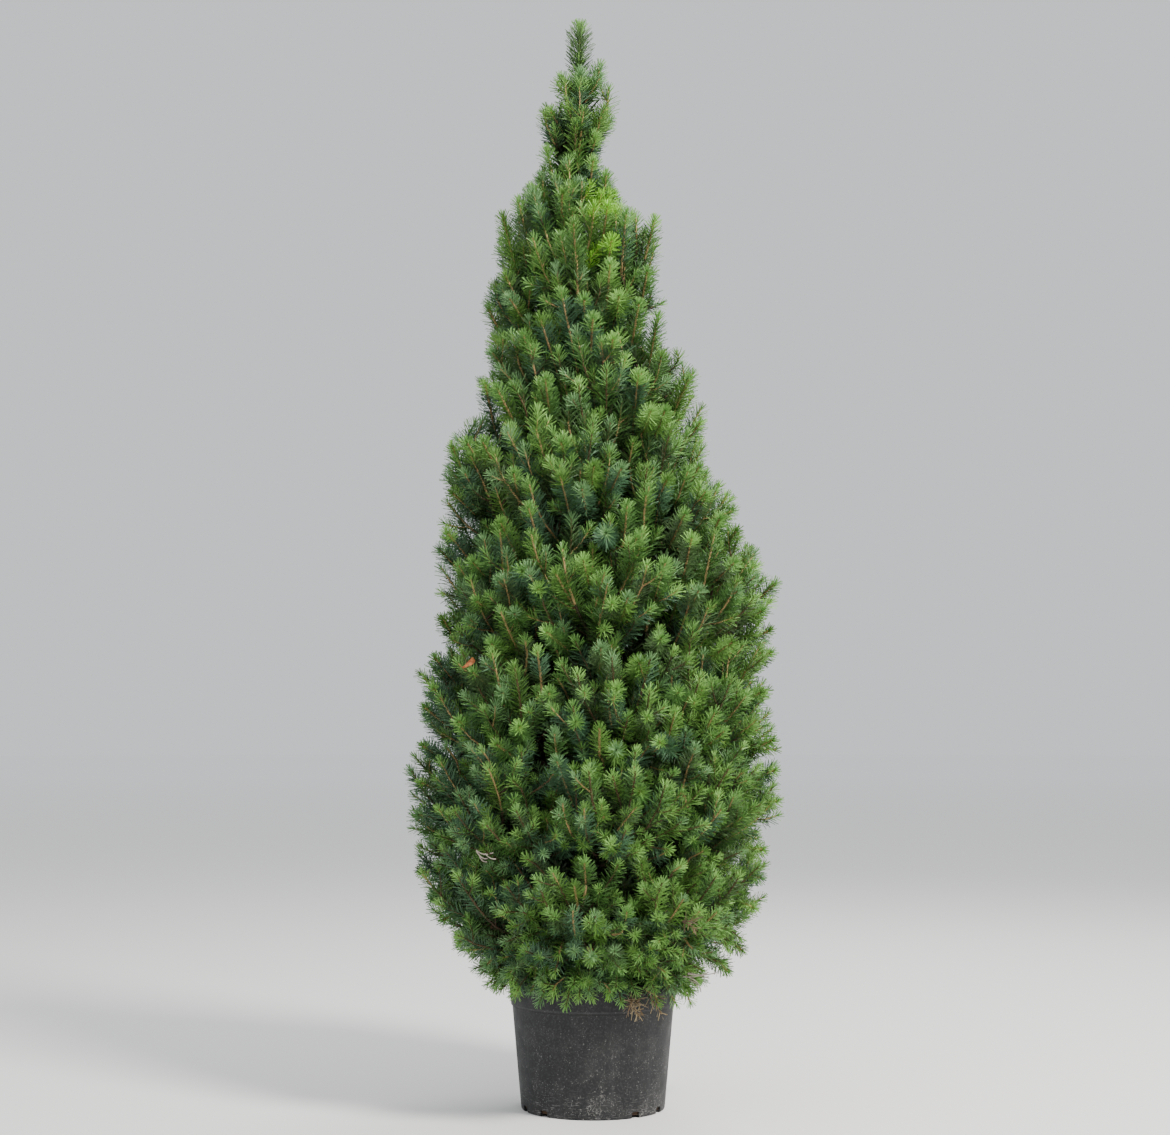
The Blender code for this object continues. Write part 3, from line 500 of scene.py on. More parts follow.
def edge_points(rings):
    """The rings' own points, and points spaced along the edges between them."""
    points = [point for row in rings for point in row]
    for row in rings:
        points += [a.lerp(b, t) for a, b in zip(row, row[1:] + row[:1]) for t in ALONG_EDGE]
    for low, high in zip(rings, rings[1:]):
        points += [a.lerp(high[i % len(high)], t) for i, a in enumerate(low) for t in ALONG_EDGE]
    return points


def heads_clear(head, others):
    """Whether a head's axis keeps off those already there; a head is (start, tip, radius)."""
    start, tip, radius = head
    for other_start, other_tip, other_radius in others:
        for along in (0.0, *ALONG_EDGE, 1.0):
            point = start.lerp(tip, along)
            share = geometry.intersect_point_line(point, other_start, other_tip)[1]
            nearest = other_start.lerp(other_tip, min(max(share, 0.0), 1.0))
            if (point - nearest).length < HEAD_CLEAR * (radius + other_radius):
                return False
    return True


class Mass:
    """One mass of the solids, between two bough surfaces and two upright walls that wind, and its stem."""

    def __init__(self, tier, number):
        count = TIER_MASSES[tier]
        self.tier = tier
        self.share = tier / (len(TIER_MASSES) - 1)
        self.node = f"foliage_{tier + 1}_{number + 1}"
        self.rng = random.Random(f"{SEED}-finer-{tier + 1}-{number + 1}")
        self.lower, self.upper = TIER_STARTS[tier:tier + 2]
        self.azimuth = math.radians(FIRST_TURN + TIER_TURN * tier + 360 * number / count)
        self.half_turn = math.pi / count
        self.wind = BOUGH_WIND if tier % 2 else -BOUGH_WIND
        self.start = between((self.lower, self.upper), STEM_LEVEL)
        self.r_outline = outline_point(self.start, self.azimuth)[0]
        self.r_end = STEM_LENGTH * self.r_outline
        self.lowest = outline_point(self.lower, self.azimuth)[1] if tier else SKIRT_LOW
        self.highest = outline_point(self.upper, self.azimuth)[1]

    def middle(self, r):
        """The azimuth of the room's middle at a distance from the trunk."""
        return self.azimuth + self.wind * r

    def floor(self, r, point):
        """The lowest height open to the mass; the lowest tier hangs over the pot's rim."""
        if self.tier:
            return bough_height(self.lower, r) + 2 * MARGIN
        over_pot = math.hypot(point.x, point.y) < POT_RIM_RADIUS + MARGIN
        return POT_HEIGHT + MARGIN if over_pot else SKIRT_HANG

    def holds(self, points):
        """Whether all points lie inside, clear of the trunk, the pot and the soil."""
        for point in points:
            r, azimuth = from_trunk(point)
            aside = abs((azimuth - self.middle(r) + math.pi) % math.tau - math.pi)
            if (
                r < float(trunk_radius(point.z)) + MARGIN
                or r * math.sin(min(self.half_turn - aside, math.pi / 2)) < MARGIN
                or not self.floor(r, point) < point.z < bough_height(self.upper, r) - 2 * MARGIN
            ):
                return False
        return True

    def stem_point(self, r):
        return place(r, self.middle(r), float(bough_height(self.start, r)))

    def fork(self, start, direction, back):
        """The outermost point from which a twig reaches a head's start at an acute angle."""
        for share in np.arange(FORK_OUTERMOST - back, FORK_INNERMOST, -FORK_STEP):
            root = self.stem_point(share * self.r_end)
            way = start - root
            if way.dot(direction) > FORK_COSINE * way.length:
                return root
        return None

    def tip(self, first, attempt, spread, inset, depth):
        """(tip, azimuth, distance) of one attempt; depth is the share of the outline's distance."""
        across = (first + attempt * SPREAD_ACROSS) % 1.0
        up = (first + attempt * SPREAD_UP) % 1.0
        z_tip = between((self.lowest, self.highest), between((inset, 1 - inset), up))
        azimuth = self.middle(float(reach(z_tip, self.azimuth)))
        azimuth += (2 * across - 1) * spread * self.half_turn
        r_tip = float(reach(z_tip, azimuth)) * depth
        return place(r_tip, azimuth, z_tip), azimuth, r_tip

    def direction(self, tip, azimuth, r_tip, rng, sway, sizes=HEAD_SIZES, droop=0.0):
        """(direction, size) of the shoot that ends at this tip."""
        above_skirt = min(1.0, (tip.z - SKIRT_LOW) / (SKIRT_HIGH - SKIRT_LOW))
        size = between((SKIRT_SMALL, 1.0), above_skirt) * rng.uniform(*sizes)
        lifted = math.atan(bough_slope_at(r_tip, tip.z)) + math.radians(HEAD_LIFT - droop)
        rise = between((math.radians(SKIRT_DROOP), lifted), above_skirt) + rng.uniform(-sway, sway)
        return unit(rise, azimuth + rng.uniform(-sway, sway)), size

    def sprays(self):
        """(root, start, tip, direction) of each spray that the solids have."""
        rng = random.Random(f"{SEED}-{self.node}")
        for _ in range(CORE_DRAWS if self.tier < CORE_TIERS else 0):
            rng.random()
        first = rng.random()
        sway = math.radians(HEAD_SWAY)
        heads = []
        found = []
        for attempt in range(MOST_TRIES * TIER_SPRAYS[self.tier]):
            tip, azimuth, r_tip = self.tip(first, attempt, TIP_SPREAD, TIP_INSET, rng.uniform(*TIP_REACH))
            direction, size = self.direction(tip, azimuth, r_tip, rng, sway)
            long = between(HEAD_LENGTH, self.share) * size
            start = tip - direction * long
            twist = rng.uniform(0, math.tau)
            root = self.fork(start, direction, rng.uniform(0.0, FORK_JITTER))
            if root is None:
                continue
            for slimmer in HEAD_SLIMMER:
                wide = between(HEAD_RADIUS, self.share) * size * slimmer
                rings = spray_rings(root, tip, direction, long, wide, twist)
                if heads_clear((start, tip, wide), heads) and self.holds(edge_points(rings)):
                    heads.append((start, tip, wide))
                    found.append((root, start, tip, direction))
                    break
            if len(found) == TIER_SPRAYS[self.tier]:
                break
        return found


def leader_sprays():
    """(root, start, tip, direction) of each spray beside the leader."""
    rng = random.Random(f"{SEED}-foliage_top")
    foot = TRUNK_TOP + GAP
    heads = [(on_trunk(PLANT_HEIGHT - LEADER_HEAD), on_trunk(PLANT_HEIGHT), LEADER_RADIUS / 2)]
    found = []
    for attempt in range(MOST_TRIES * LEADER_SPRAYS):
        azimuth = math.radians(TIER_TURN) * attempt
        z_tip = between(LEADER_TIPS, (attempt * SPREAD_UP) % 1.0)
        tip = place(float(reach(z_tip, azimuth)) * rng.uniform(*TIP_REACH), azimuth, z_tip)
        direction = unit(math.radians(rng.uniform(*LEADER_RISE)), azimuth)
        start = tip - direction * LEADER_SPRAY
        root = on_trunk(max(foot + FORK_RISE, start.z - FORK_RISE))
        twist = rng.uniform(0, math.tau)
        rings = spray_rings(root, tip, direction, LEADER_SPRAY, LEADER_SPRAY_RADIUS, twist)
        head = (start, tip, LEADER_SPRAY_RADIUS)
        if heads_clear(head, heads) and min(point.z for row in rings for point in row) >= foot:
            heads.append(head)
            found.append((root, start, tip, direction))
        if len(found) == LEADER_SPRAYS:
            break
    return found


# ------------------------------------------------------------------ the finer twigs
def normalized(a):
    return a / np.maximum(np.linalg.norm(a, axis=-1, keepdims=True), 1e-12)


def even_points(curve, count=PATH_POINTS):
    """Evenly spaced points along a line of points."""
    along = np.concatenate([[0.0], np.cumsum(np.linalg.norm(np.diff(curve, axis=0), axis=1))])
    even = np.linspace(0, along[-1], count)
    return np.stack([np.interp(even, along, curve[:, i]) for i in range(3)], axis=1)


def bend(root, leave, end, arrive, count=PATH_POINTS):
    """Points on a curve that leaves the root one way and arrives at the end another way."""
    root, leave, end, arrive = (array(v) for v in (root, leave, end, arrive))
    t = np.linspace(0, 1, 4 * count)[:, None]
    return even_points(hermite(t, np.linalg.norm(end - root), root, leave, end, arrive), count)


def twig_path(root, leave, tip, direction):
    """The curve of a twig whose last needles reach the tip."""
    return bend(root, leave, tip - direction * TIP_NEEDLES, direction)


@dataclass
class Twig:
    """A curve with needles on it from the share bare of its length to its end."""

    path: np.ndarray
    tier: int
    bare: float
    thick: tuple  # radii at both ends
    kind: str  # "main", "side", "inner", "shoot", "leader", "bright", "dry" or "dead"
    leaves: float = 1.0  # needles for each metre, against the usual number
    needle: float = 1.0  # their length, against the usual one
    broad: float = 1.0  # their width, against the usual one

    def length(self):
        return float(np.linalg.norm(np.diff(self.path, axis=0), axis=1).sum())

    def clothed(self):
        return self.length() * (1 - self.bare)


def clear_of_pot(points):
    """Whether points stay out of the pot's wall and the soil."""
    low = points[:, 2] < POT_HEIGHT + POT_CLEAR
    return not (low & (np.hypot(points[:, 0], points[:, 1]) < POT_RIM_RADIUS + POT_CLEAR)).any()


def side_shoots(twig, count, rng):
    """Shoots that leave a twig to all sides and bend towards its tip."""
    found = []
    turn = rng.uniform(0, math.tau)
    length = twig.length()
    for i in range(count):
        share = twig.bare + (SIDE_LAST - twig.bare) * (i + rng.uniform(0.2, 0.9)) / count
        at = share * (len(twig.path) - 1)
        k = min(int(at), len(twig.path) - 2)
        root = twig.path[k] + (twig.path[k + 1] - twig.path[k]) * (at - k)
        along = Vector(normalized(twig.path[k + 1] - twig.path[k]))
        across, up = frame_of(along)
        turn += GOLDEN_ANGLE
        out = across * math.cos(turn) + up * math.sin(turn)
        lean = math.radians(rng.uniform(*SIDE_SPREAD))
        leave, arrive = (along * math.cos(a) + out * math.sin(a) for a in (lean, SIDE_STRAIGHTENS * lean))
        arrive = (arrive + Vector((0, 0, SIDE_LIFT))).normalized()
        long = min(rng.uniform(*SIDE_LENGTH), 0.92 * length * (1.05 - share) + 0.006)
        end = Vector(root) + (leave + arrive).normalized() * long
        for _ in range(SIDE_TRIES):
            distance, azimuth = from_trunk(end)
            if distance < SIDE_INSIDE * float(reach(end.z, azimuth)):
                break
            end = Vector(root).lerp(end, 0.8)
        path = bend(root, leave, end, arrive)
        if (end - Vector(root)).length >= SIDE_SHORTEST and clear_of_pot(path):
            needles = twig.leaves, 0.94 * twig.needle
            found.append(Twig(path, twig.tier, 0.06, (0.0011, 0.0007), "side", *needles))
    return found


def detour(root, foot, way):
    """How unfit a limb's point is as the root of a shoot: far off, or not in line with it."""
    gap = foot - root
    return gap.length * (2.2 - gap.normalized().dot(way))


def nearest_fork(forks, start, tip, direction, wanted):
    """The fork for a twig of nearly the wanted length that doesn't turn sharply at its start."""
    fit = [
        root for root in forks
        if (tip - root).length >= FORK_NEAREST * wanted
        and (start - root).dot(direction) >= FORK_TURN * (start - root).length
    ]
    return min(fit, key=lambda root: abs((tip - root).length - wanted), default=None)


class Crown:
    """All twigs of the plant, and the tips that others keep away from."""

    def __init__(self):
        self.twigs = []
        self.tips = []
        self.masses = [Mass(tier, i) for tier, count in enumerate(TIER_MASSES) for i in range(count)]
        self.grow_masses()
        self.grow_top()
        self.grow_skirt()
        self.grow_oddities()
        self.draw_in()

    def add(self, twig, tip):
        self.twigs.append(twig)
        self.tips.append(array(tip))
        return twig

    def far_from_tips(self, tip, spacing):
        gaps = np.array(self.tips) - array(tip)
        return float((gaps * gaps).sum(axis=1).min()) > spacing * spacing

    def add_spray(self, root, start, tip, direction, tier):
        end = array(tip) - array(direction) * TIP_NEEDLES
        path = bend(root, (start - root).normalized(), end, direction)
        long = float(np.linalg.norm(end - array(root)))
        clothed = min(0.92, float(np.interp(tip.z, ZONES, CLOTHED)) / long)
        return self.add(Twig(path, tier, 1 - clothed, (0.0019, 0.0011), "main"), tip)

    def draw_in(self):
        """Notches the outline and narrows the neck, where only the shoots that stand out reach further."""
        heights, left, right = DRAWN_IN
        for twig in self.twigs:
            if twig.kind != "shoot" and twig.path[-1][2] > heights[0]:
                z = twig.path[:, 2]
                middle = np.stack([line_x(z), line_y(z)], axis=1)
                away = twig.path[:, :2] - middle
                shares = np.interp(z, heights, left), np.interp(z, heights, right)
                across = np.where(away[:, 0] < 0, *shares)
                twig.path[:, :2] = middle + away * np.stack([across, (shares[0] + shares[1]) / 2], axis=1)

    def grow_masses(self):
        for mass in self.masses:
            self.add_bough(mass)
            for spray in mass.sprays():
                twig = self.add_spray(*spray, mass.tier)
                mass.forks += [Vector(p) for p in twig.path[1:4]]
                self.twigs += side_shoots(twig, SIDE_SHOOTS, mass.rng)
        self.grow_shoots()
        for rule in ((FINE_TRIES, FINE_REACH, "main"), (INNER_TRIES, INNER_REACH, "inner")):
            for mass in self.masses:
                self.grow_finer(mass, *rule)

    def add_bough(self, mass):
        """The stem of a mass and its own end shoot, and the points that twigs may fork from."""
        radii = np.linspace(float(trunk_radius(mass.start)) + GAP, 0.955 * mass.r_outline, 16)
        path = np.array([array(mass.stem_point(r)) for r in radii])
        mass.bough = path[:12]
        mass.forks = [Vector(p) for p in path[2:12]]
        # Needles along the stem, in the dark tints of painted shade.
        dark = even_points(path[:13])
        self.twigs.append(Twig(dark, mass.tier, 0.12, (0.0012, 0.0008), "inner", 0.6, 1.2, 2.6))
        self.add(Twig(even_points(path[10:]), mass.tier, 0.0, (0.0015, 0.0008), "main"), path[-1])

    def grow_shoots(self):
        """The shoots that stand out, each on a twig from the nearest limb."""
        limbs = [(Vector(p), mass.tier) for mass in self.masses for p in mass.bough[1:]]
        limbs += [(on_trunk(z), TOP_TIER) for z in np.arange(0.95, 1.18, 0.008)]
        for numbers in SHOOTS:
            tip = Vector(numbers[:3]) / 1000
            foot = Vector(numbers[3:]) / 1000
            way = (tip - foot).normalized()
            root, tier = min(limbs, key=lambda limb: detour(limb[0], foot, way))
            end = tip - way * TIP_NEEDLES
            first = bend(root, ((foot - root).normalized() + way).normalized(), foot, way, 12)
            path = even_points(np.concatenate([first, bend(foot, way, end, way, 12)[1:]]))
            twig = self.add(Twig(path, tier, 0.0, (0.0021, 0.0012), "shoot", 1.60, 1.0, 1.1), tip)
            twig.bare = max(0.0, 1 - (end - foot).length / twig.length())

    def grow_finer(self, mass, tries, depths, kind):
        """Further tips by the same rule, where none is near, on twigs from the nearest limbs."""
        rng = mass.rng
        first = rng.random()
        sway = math.radians(FINE_SWAY)
        for attempt in range(tries):
            tip, azimuth, r_tip = mass.tip(first, attempt, FINE_SPREAD, -0.01, rng.uniform(*depths))
            spacing, wanted = INNER_SPACING, INNER_LENGTH
            if kind == "main":
                inset, spacing, wanted, clothed = (float(np.interp(tip.z, ZONES, row)) for row in FINE_ZONES)
                r_tip = (r_tip - inset) * (NARROW_SHARE if NARROW[0] < tip.z < NARROW[1] else 1.0)
                tip = place(r_tip, azimuth, tip.z)
            droop = float(np.interp(tip.z, LOW_ZONE, (LOW_DROOP, 0)))
            direction, size = mass.direction(tip, azimuth, r_tip, rng, sway, FINE_SIZES, droop)
            if not self.far_from_tips(tip, spacing * rng.uniform(0.9, 1.15)):
                continue
            start = tip - direction * (SHOOT_START * (wanted * size))
            root = nearest_fork(mass.forks, start, tip, direction, wanted * size)
            if root is None:
                continue
            path = twig_path(root, (start - root).normalized(), tip, direction)
            if not clear_of_pot(path):
                continue
            twig = self.add(Twig(path, mass.tier, 0.12, (0.0017, 0.0010), kind), tip)
            if kind == "inner":
                twig.leaves, twig.needle, twig.broad = INNER_NEEDLES
            else:
                twig.bare = max(0.08, 1 - clothed / twig.length())
                self.twigs += side_shoots(twig, rng.choice((0, 1, 2)), rng)

    def grow_top(self):
        """The leader with its own needles, its sprays and short shoots below them."""
        rng = random.Random(f"{SEED}-top")
        for low, high, *needles in LEADER_PARTS:
            path = trunk_path(np.linspace(low, high, PATH_POINTS))
            self.twigs.append(Twig(path, TOP_TIER, 0.0, (0.0012, 0.0010), "leader", *needles, 1.15))
        path = trunk_path(np.linspace(*SLEEVE, PATH_POINTS))
        self.twigs.append(Twig(path, TOP_TIER, 0.0, (0.0008, 0.0008), "inner", 1.6, 2.1, 3.0))
        for spray in leader_sprays():
            twig = self.add_spray(*spray, TOP_TIER)
            twig.bare, twig.leaves = 0.08, 1.25
        for point in WHORL_TIPS:
            self.add_top_shoot(Vector(point), from_trunk(point)[1], 0.011, (0.036, 0.048), rng)
        for attempt in range(TOP_TRIES):
            azimuth = math.radians(TIER_TURN) * attempt + 1.0
            z_tip = between(TOP_TIPS, (attempt * SPREAD_UP) % 1.0)
            tip = place(float(reach(z_tip, azimuth)) * rng.uniform(0.50, 0.84), azimuth, z_tip)
            self.add_top_shoot(tip, azimuth, 0.0215, (0.045, 0.070), rng)

    def add_top_shoot(self, tip, azimuth, spacing, lengths, rng):
        if self.far_from_tips(tip, spacing):
            long = rng.uniform(*lengths)
            direction = unit(math.radians(rng.uniform(*TOP_RISE)), azimuth)
            start = tip - direction * (SHOOT_START * long)
            root = on_trunk(min(start.z - 0.006, PLANT_HEIGHT - 0.05))
            path = twig_path(root, (start - root).normalized(), tip, direction)
            self.add(Twig(path, TOP_TIER, 0.06, (0.0014, 0.0009), "main", 1.35), tip)

    def grow_skirt(self):
        """Short shoots that hang over the pot's rim all round."""
        rng = random.Random(f"{SEED}-skirt")
        for i in range(SKIRT_SHOOTS):
            azimuth = GOLDEN_ANGLE * i
            low = (i * SPREAD_UP) % 1.0
            z_tip = between((SKIRT_HANG + 0.004, POT_HEIGHT + 0.006), low)
            tip = place(between(SKIRT_TIPS, low) * rng.uniform(0.98, 1.05), azimuth, z_tip)
            if not self.far_from_tips(tip, SKIRT_SPACING):
                continue
            rise = math.radians(between(SKIRT_RISE, low) + rng.uniform(-12, 12))
            direction = unit(rise, azimuth + rng.uniform(-0.45, 0.45))
            aside = azimuth + rng.uniform(-0.2, 0.2)
            root = place(between(SKIRT_ROOTS, low), aside, rng.uniform(*SKIRT_ROOT_HEIGHTS))
            path = twig_path(root, unit(0.35, azimuth), tip, direction)
            if clear_of_pot(path):
                self.add(Twig(path, 0, 0.22, (0.0013, 0.0008), "main", 1.0, 0.95), tip)

    def grow_oddities(self):
        """What has died or differs: dry needles, bare twigs, and one bright shoot at the rim."""
        rng = random.Random(f"{SEED}-oddities")
        for kind, x, y, z, count, long, rise in ODDITIES:
            for _ in range(count):
                spot = Vector((x, y, z)) + Vector([rng.uniform(-0.006, 0.006) for _ in range(3)])
                azimuth = math.atan2(y, x) + rng.uniform(-1.6, 1.6)
                direction = unit(math.radians(rise + rng.uniform(-45, 45)), azimuth)
                size = long * rng.uniform(0.7, 1.1)
                inwards = Vector((-x, -y, 0.02)).normalized()
                path = bend(spot + inwards * 0.9 * long, -inwards, spot + direction * size, direction)
                self.twigs.append(Twig(path, 0, 0.15, (0.0009, 0.0006), kind, ODD_LEAVES[kind], 0.9))


# ------------------------------------------------------------------ meshes
def linked(name, data):
    """A new object in the scene."""
    obj = bpy.data.objects.new(name, data)
    bpy.context.scene.collection.objects.link(obj)
    return obj


def mesh_object(name, points, faces, materials, tints=None, smooth=True):
    """An object from (n, 3) points and (m, sides) faces, with a material number for each face."""
    mesh = bpy.data.meshes.new(name)
    mesh.vertices.add(len(points))
    mesh.vertices.foreach_set("co", np.ascontiguousarray(points, np.float32).ravel())
    mesh.loops.add(faces.size)
    mesh.loops.foreach_set("vertex_index", np.ascontiguousarray(faces, np.int32).ravel())
    mesh.polygons.add(len(faces))
    mesh.polygons.foreach_set("loop_start", np.arange(0, faces.size, faces.shape[1], dtype=np.int32))
    for material in materials:
        mesh.materials.append(material)
    if tints is not None:
        mesh.polygons.foreach_set("material_index", np.ascontiguousarray(tints, np.int32))
    mesh.polygons.foreach_set("use_smooth", np.full(len(faces), smooth))
    mesh.update(calc_edges=True)
    return linked(name, mesh)


def joined_object(name, parts, materials, tints=None):
    """One object from several (points, faces)."""
    points, faces = zip(*parts)
    starts = np.cumsum([0] + [len(some) for some in points])
    faces = [some + start for some, start in zip(faces, starts)]
    return mesh_object(name, np.concatenate(points), np.concatenate(faces), materials, tints)


def strip_faces(count):
    """Two triangles for each four corners."""
    start = 4 * np.arange(count)[:, None]
    return np.concatenate([start + [0, 1, 2], start + [0, 2, 3]], axis=1).reshape(-1, 3)


def path_frames(paths):
    """Unit tangents, and two unit vectors across them, at each point of (s, k, 3) paths."""
    tangents = normalized(np.gradient(paths, axis=1))
    aside = np.where(np.abs(tangents[:, :1, 2:]) < 0.9, [[[0.0, 0.0, 1.0]]], [[[1.0, 0.0, 0.0]]])
    across = normalized(np.cross(tangents, aside))
    return tangents, across, np.cross(across, tangents)


def tubes(paths, radii, sides, turn):
    """(points, faces) of tubes along (s, k, 3) paths; radii is (s, k), and points are (s, k, sides, 3)."""
    count, rings = radii.shape
    _, across, up = path_frames(paths)
    angles = turn[:, None] + math.tau * np.arange(sides) / sides
    x, y = (wave(angles)[:, None, :, None] for wave in (np.cos, np.sin))
    points = paths[:, :, None] + radii[:, :, None, None] * (across[:, :, None] * x + up[:, :, None] * y)
    start = sides * (np.arange(count)[:, None, None] * rings + np.arange(rings - 1)[:, None])
    i = np.arange(sides)
    j = (i + 1) % sides
    quads = np.stack([start + i, start + j, start + sides + j, start + sides + i], axis=-1)
    return points, quads.reshape(-1, 4)


def circle(bm, r, height, sides):
    """A ring of points at a radius, or one point on the axis; height gives z at (x, y)."""
    turns = [math.tau * i / sides for i in range(sides)] if r else [0.0]
    flat = [(r * math.cos(a), r * math.sin(a)) for a in turns]
    return [bm.verts.new((x, y, height(x, y))) for x, y in flat]


def skin(bm, rings, sides):
    """The faces between rings, each of which has one point for each side, or one in all."""
    for low, high in zip(rings, rings[1:]):
        for i in range(sides):
            j = (i + 1) % sides
            corners = [low[i % len(low)], low[j % len(low)], high[j % len(high)], high[i % len(high)]]
            bm.faces.new(list(dict.fromkeys(corners)))


def bmesh_object(name, bm, *materials):
    bmesh.ops.recalc_face_normals(bm, faces=bm.faces)
    mesh = bpy.data.meshes.new(name)
    bm.to_mesh(mesh)
    bm.free()
    for material in materials:
        mesh.materials.append(material)
    return linked(name, mesh)


def smooth_but(obj, degrees):
    """Smooth shading but for edges sharper than this."""
    obj.data.shade_smooth()
    obj.data.set_sharp_from_angle(angle=math.radians(degrees))
    return obj


# ------------------------------------------------------------------ needles and twigs
def needle_corners(twigs, counts, rng):
    """Corners (n, 4, 3) of folded needles, the zone of each (0 old, 1 body, 2 tip), and its twig's number."""
    owner = np.repeat(np.arange(len(twigs)), counts)
    many = len(owner)

    def own(values):
        return np.array(values)[owner]

    paths = np.array([twig.path for twig in twigs])
    tangents, across, _ = path_frames(paths)
    order = np.arange(many) - np.repeat(np.cumsum(counts) - counts, counts)
    share = 1 - (1 - (order + rng.random(many)) / counts[owner]) ** CROWDING
    bare = own([twig.bare for twig in twigs])
    at = (bare + (1 - bare) * share) * (PATH_POINTS - 1)
    k = np.minimum(at.astype(int), PATH_POINTS - 2)
    past = (at - k)[:, None]
    foot, axis, side = (
        values[owner, k] * (1 - past) + values[owner, k + 1] * past for values in (paths, tangents, across)
    )
    axis = normalized(axis)
    side = normalized(side)
    phase = rng.random(len(twigs)) * math.tau
    turn = (phase[owner] + GOLDEN_ANGLE * order + rng.normal(0, 0.12, many))[:, None]
    out = side * np.cos(turn) + np.cross(side, axis) * np.sin(turn)
    to_tip = (1 - share) * own([twig.clothed() for twig in twigs])
    lean, leader_lean = (
        np.interp(to_tip, *table) + rng.normal(0, jitter, many)
        for table, jitter in ((NEEDLE_LEAN, 6), (LEADER_LEAN, 5))
    )
    lean = np.where(own([twig.kind == "leader" for twig in twigs]), leader_lean, lean)
    lean = np.radians(np.clip(lean, 4, 82))[:, None]
    way = normalized(axis * np.cos(lean) + out * np.sin(lean) + np.array([0, 0, NEEDLE_LIFT]))
    size = own([twig.needle for twig in twigs])
    size = size * np.interp(to_tip, *SHORTER_AT_TIP) * rng.uniform(0.86, 1.10, many)
    tip_height = np.array([twig.path[-1][2] for twig in twigs])
    # Longer young tips higher up are painted light on the crown's top.
    tip_zone = (rng.uniform(*TIP_ZONE, len(twigs)) * np.interp(tip_height, *TIP_ZONE_BY_HEIGHT))[owner]
    size = size * (1 - 0.35 * np.exp(-(((to_tip - tip_zone) / 0.0022) ** 2)))
    size = size * np.interp(foot[:, 2], *SHORTER_BY_HEIGHT)
    size = size * np.interp(share, *SHORTER_AT_FOOT)
    long = (NEEDLE_LENGTH * size)[:, None]
    wide = (0.5 * own([twig.broad for twig in twigs]) * rng.uniform(0.85, 1.15, many))[:, None]
    flat = normalized(np.cross(way, axis) + rng.normal(0, 0.45, way.shape))
    flat = normalized(flat - way * (flat * way).sum(axis=1, keepdims=True))
    turned = flat * math.cos(NEEDLE_TWIST) + np.cross(way, flat) * math.sin(NEEDLE_TWIST)
    near, far = flat * wide * NEEDLE_WIDTH[0], turned * wide * NEEDLE_WIDTH[1]
    tip = foot + way * long + axis * (0.06 * long)
    corners = np.stack([foot - near, foot + near, tip + far, tip - far], axis=1)
    return corners, np.where(to_tip < tip_zone, 2, np.where(share < OLD_SHARE, 0, 1)), owner


def needle_tints(twig, rng):
    """The colours of a twig's old, body and tip needles: bluer and darker to the left, partly the needles'
    own tone and partly painted shade, and yellower and brighter to the right, low down and high up, as
    painted light.
    """
    x, y, z = twig.path[-1]
    if twig.kind == "dry":
        body = rng.choice(("needles_tan", "needles_dull"))
        return "needles_rust", body, rng.choice(("needles_tan", "needles_rust"))
    if twig.kind == "bright":
        return "needles_leaf", "needles_fresh", "needles_lime"
    # Needles inside the crown get painted shade: the darkest tints.
    if twig.kind == "inner":
        return "needles_deep", "needles_deep", rng.choice(("needles_deep", "needles_shade"))
    # Painted shade and light: bluer, darker bodies to the left; yellower, brighter bodies and fresh tips to
    # the right, low down and high up.
    left = 0.5 - 2.4 * x
    low = 1.0 - z / 0.55
    high = min(1.0, max(0.0, (z - 0.45) / 0.40))
    yellow = max(0.0, 0.26 + 1.6 * x + 0.35 * low) + 0.35 * high
    body = rng.choices(
        ("needles_blue", "needles_dull", "needles_green", "needles_leaf"),
        (0.20 + 0.75 * max(left, 0.05), 0.26, 0.42 + 0.25 * high, yellow),
    )[0]
    if -0.004 < x < 0.030 and 0.95 < z < 1.05 and y < 0:  # the bright spray below the leader
        return "needles_green", "needles_leaf", "needles_lime"
    # Older needles at the foot, in dark tints that are also painted shade.
    old = rng.choice(("needles_deep", "needles_shade", "needles_shade", "needles_dull"))
    tips = rng.choices(
        ("needles_leaf", "needles_pale", "needles_young", "needles_fresh"),
        (0.25, 0.10 + 0.5 * max(left, 0), 0.40, 0.24 + 0.25 * max(low, 0)),
    )[0]
    return old, body, tips


def add_needles(name, twigs, per_metre, materials, rng):
    twigs = [twig for twig in twigs if twig.leaves > 0]
    counts = np.array([twig.clothed() * twig.leaves for twig in twigs]) * per_metre
    counts = np.maximum(8, np.round(counts)).astype(int)
    corners, zone, owner = needle_corners(twigs, counts, rng)
    x, y, z = corners[:, 2].T
    kept = (z > POT_HEIGHT + 0.001) | (np.hypot(x, y) > POT_RIM_RADIUS + 0.0005)
    draw = random.Random(name)
    tints = np.array([[TINT_NUMBER[tint] for tint in needle_tints(twig, draw)] for twig in twigs])
    numbers = np.repeat(tints[owner[kept], zone[kept]], 2)
    corners = corners[kept]
    return mesh_object(name, corners.reshape(-1, 3), strip_faces(len(corners)), materials, numbers, False)


def twig_tint(twig, k, young):
    """The colour of a twig's part k: brown inside the crown, and tan where it is young."""
    if twig.kind == "dead":
        return "twig_dead"
    if twig.kind == "inner" or (twig.kind != "side" and k < 2):
        return "twig_old"
    high = min(1.0, max(0.0, (twig.path[0][2] - 0.25) / 0.5))
    return "twig_tan" if twig.kind == "shoot" or young + 0.06 * k + 0.55 * high > 0.95 else "twig_brown"


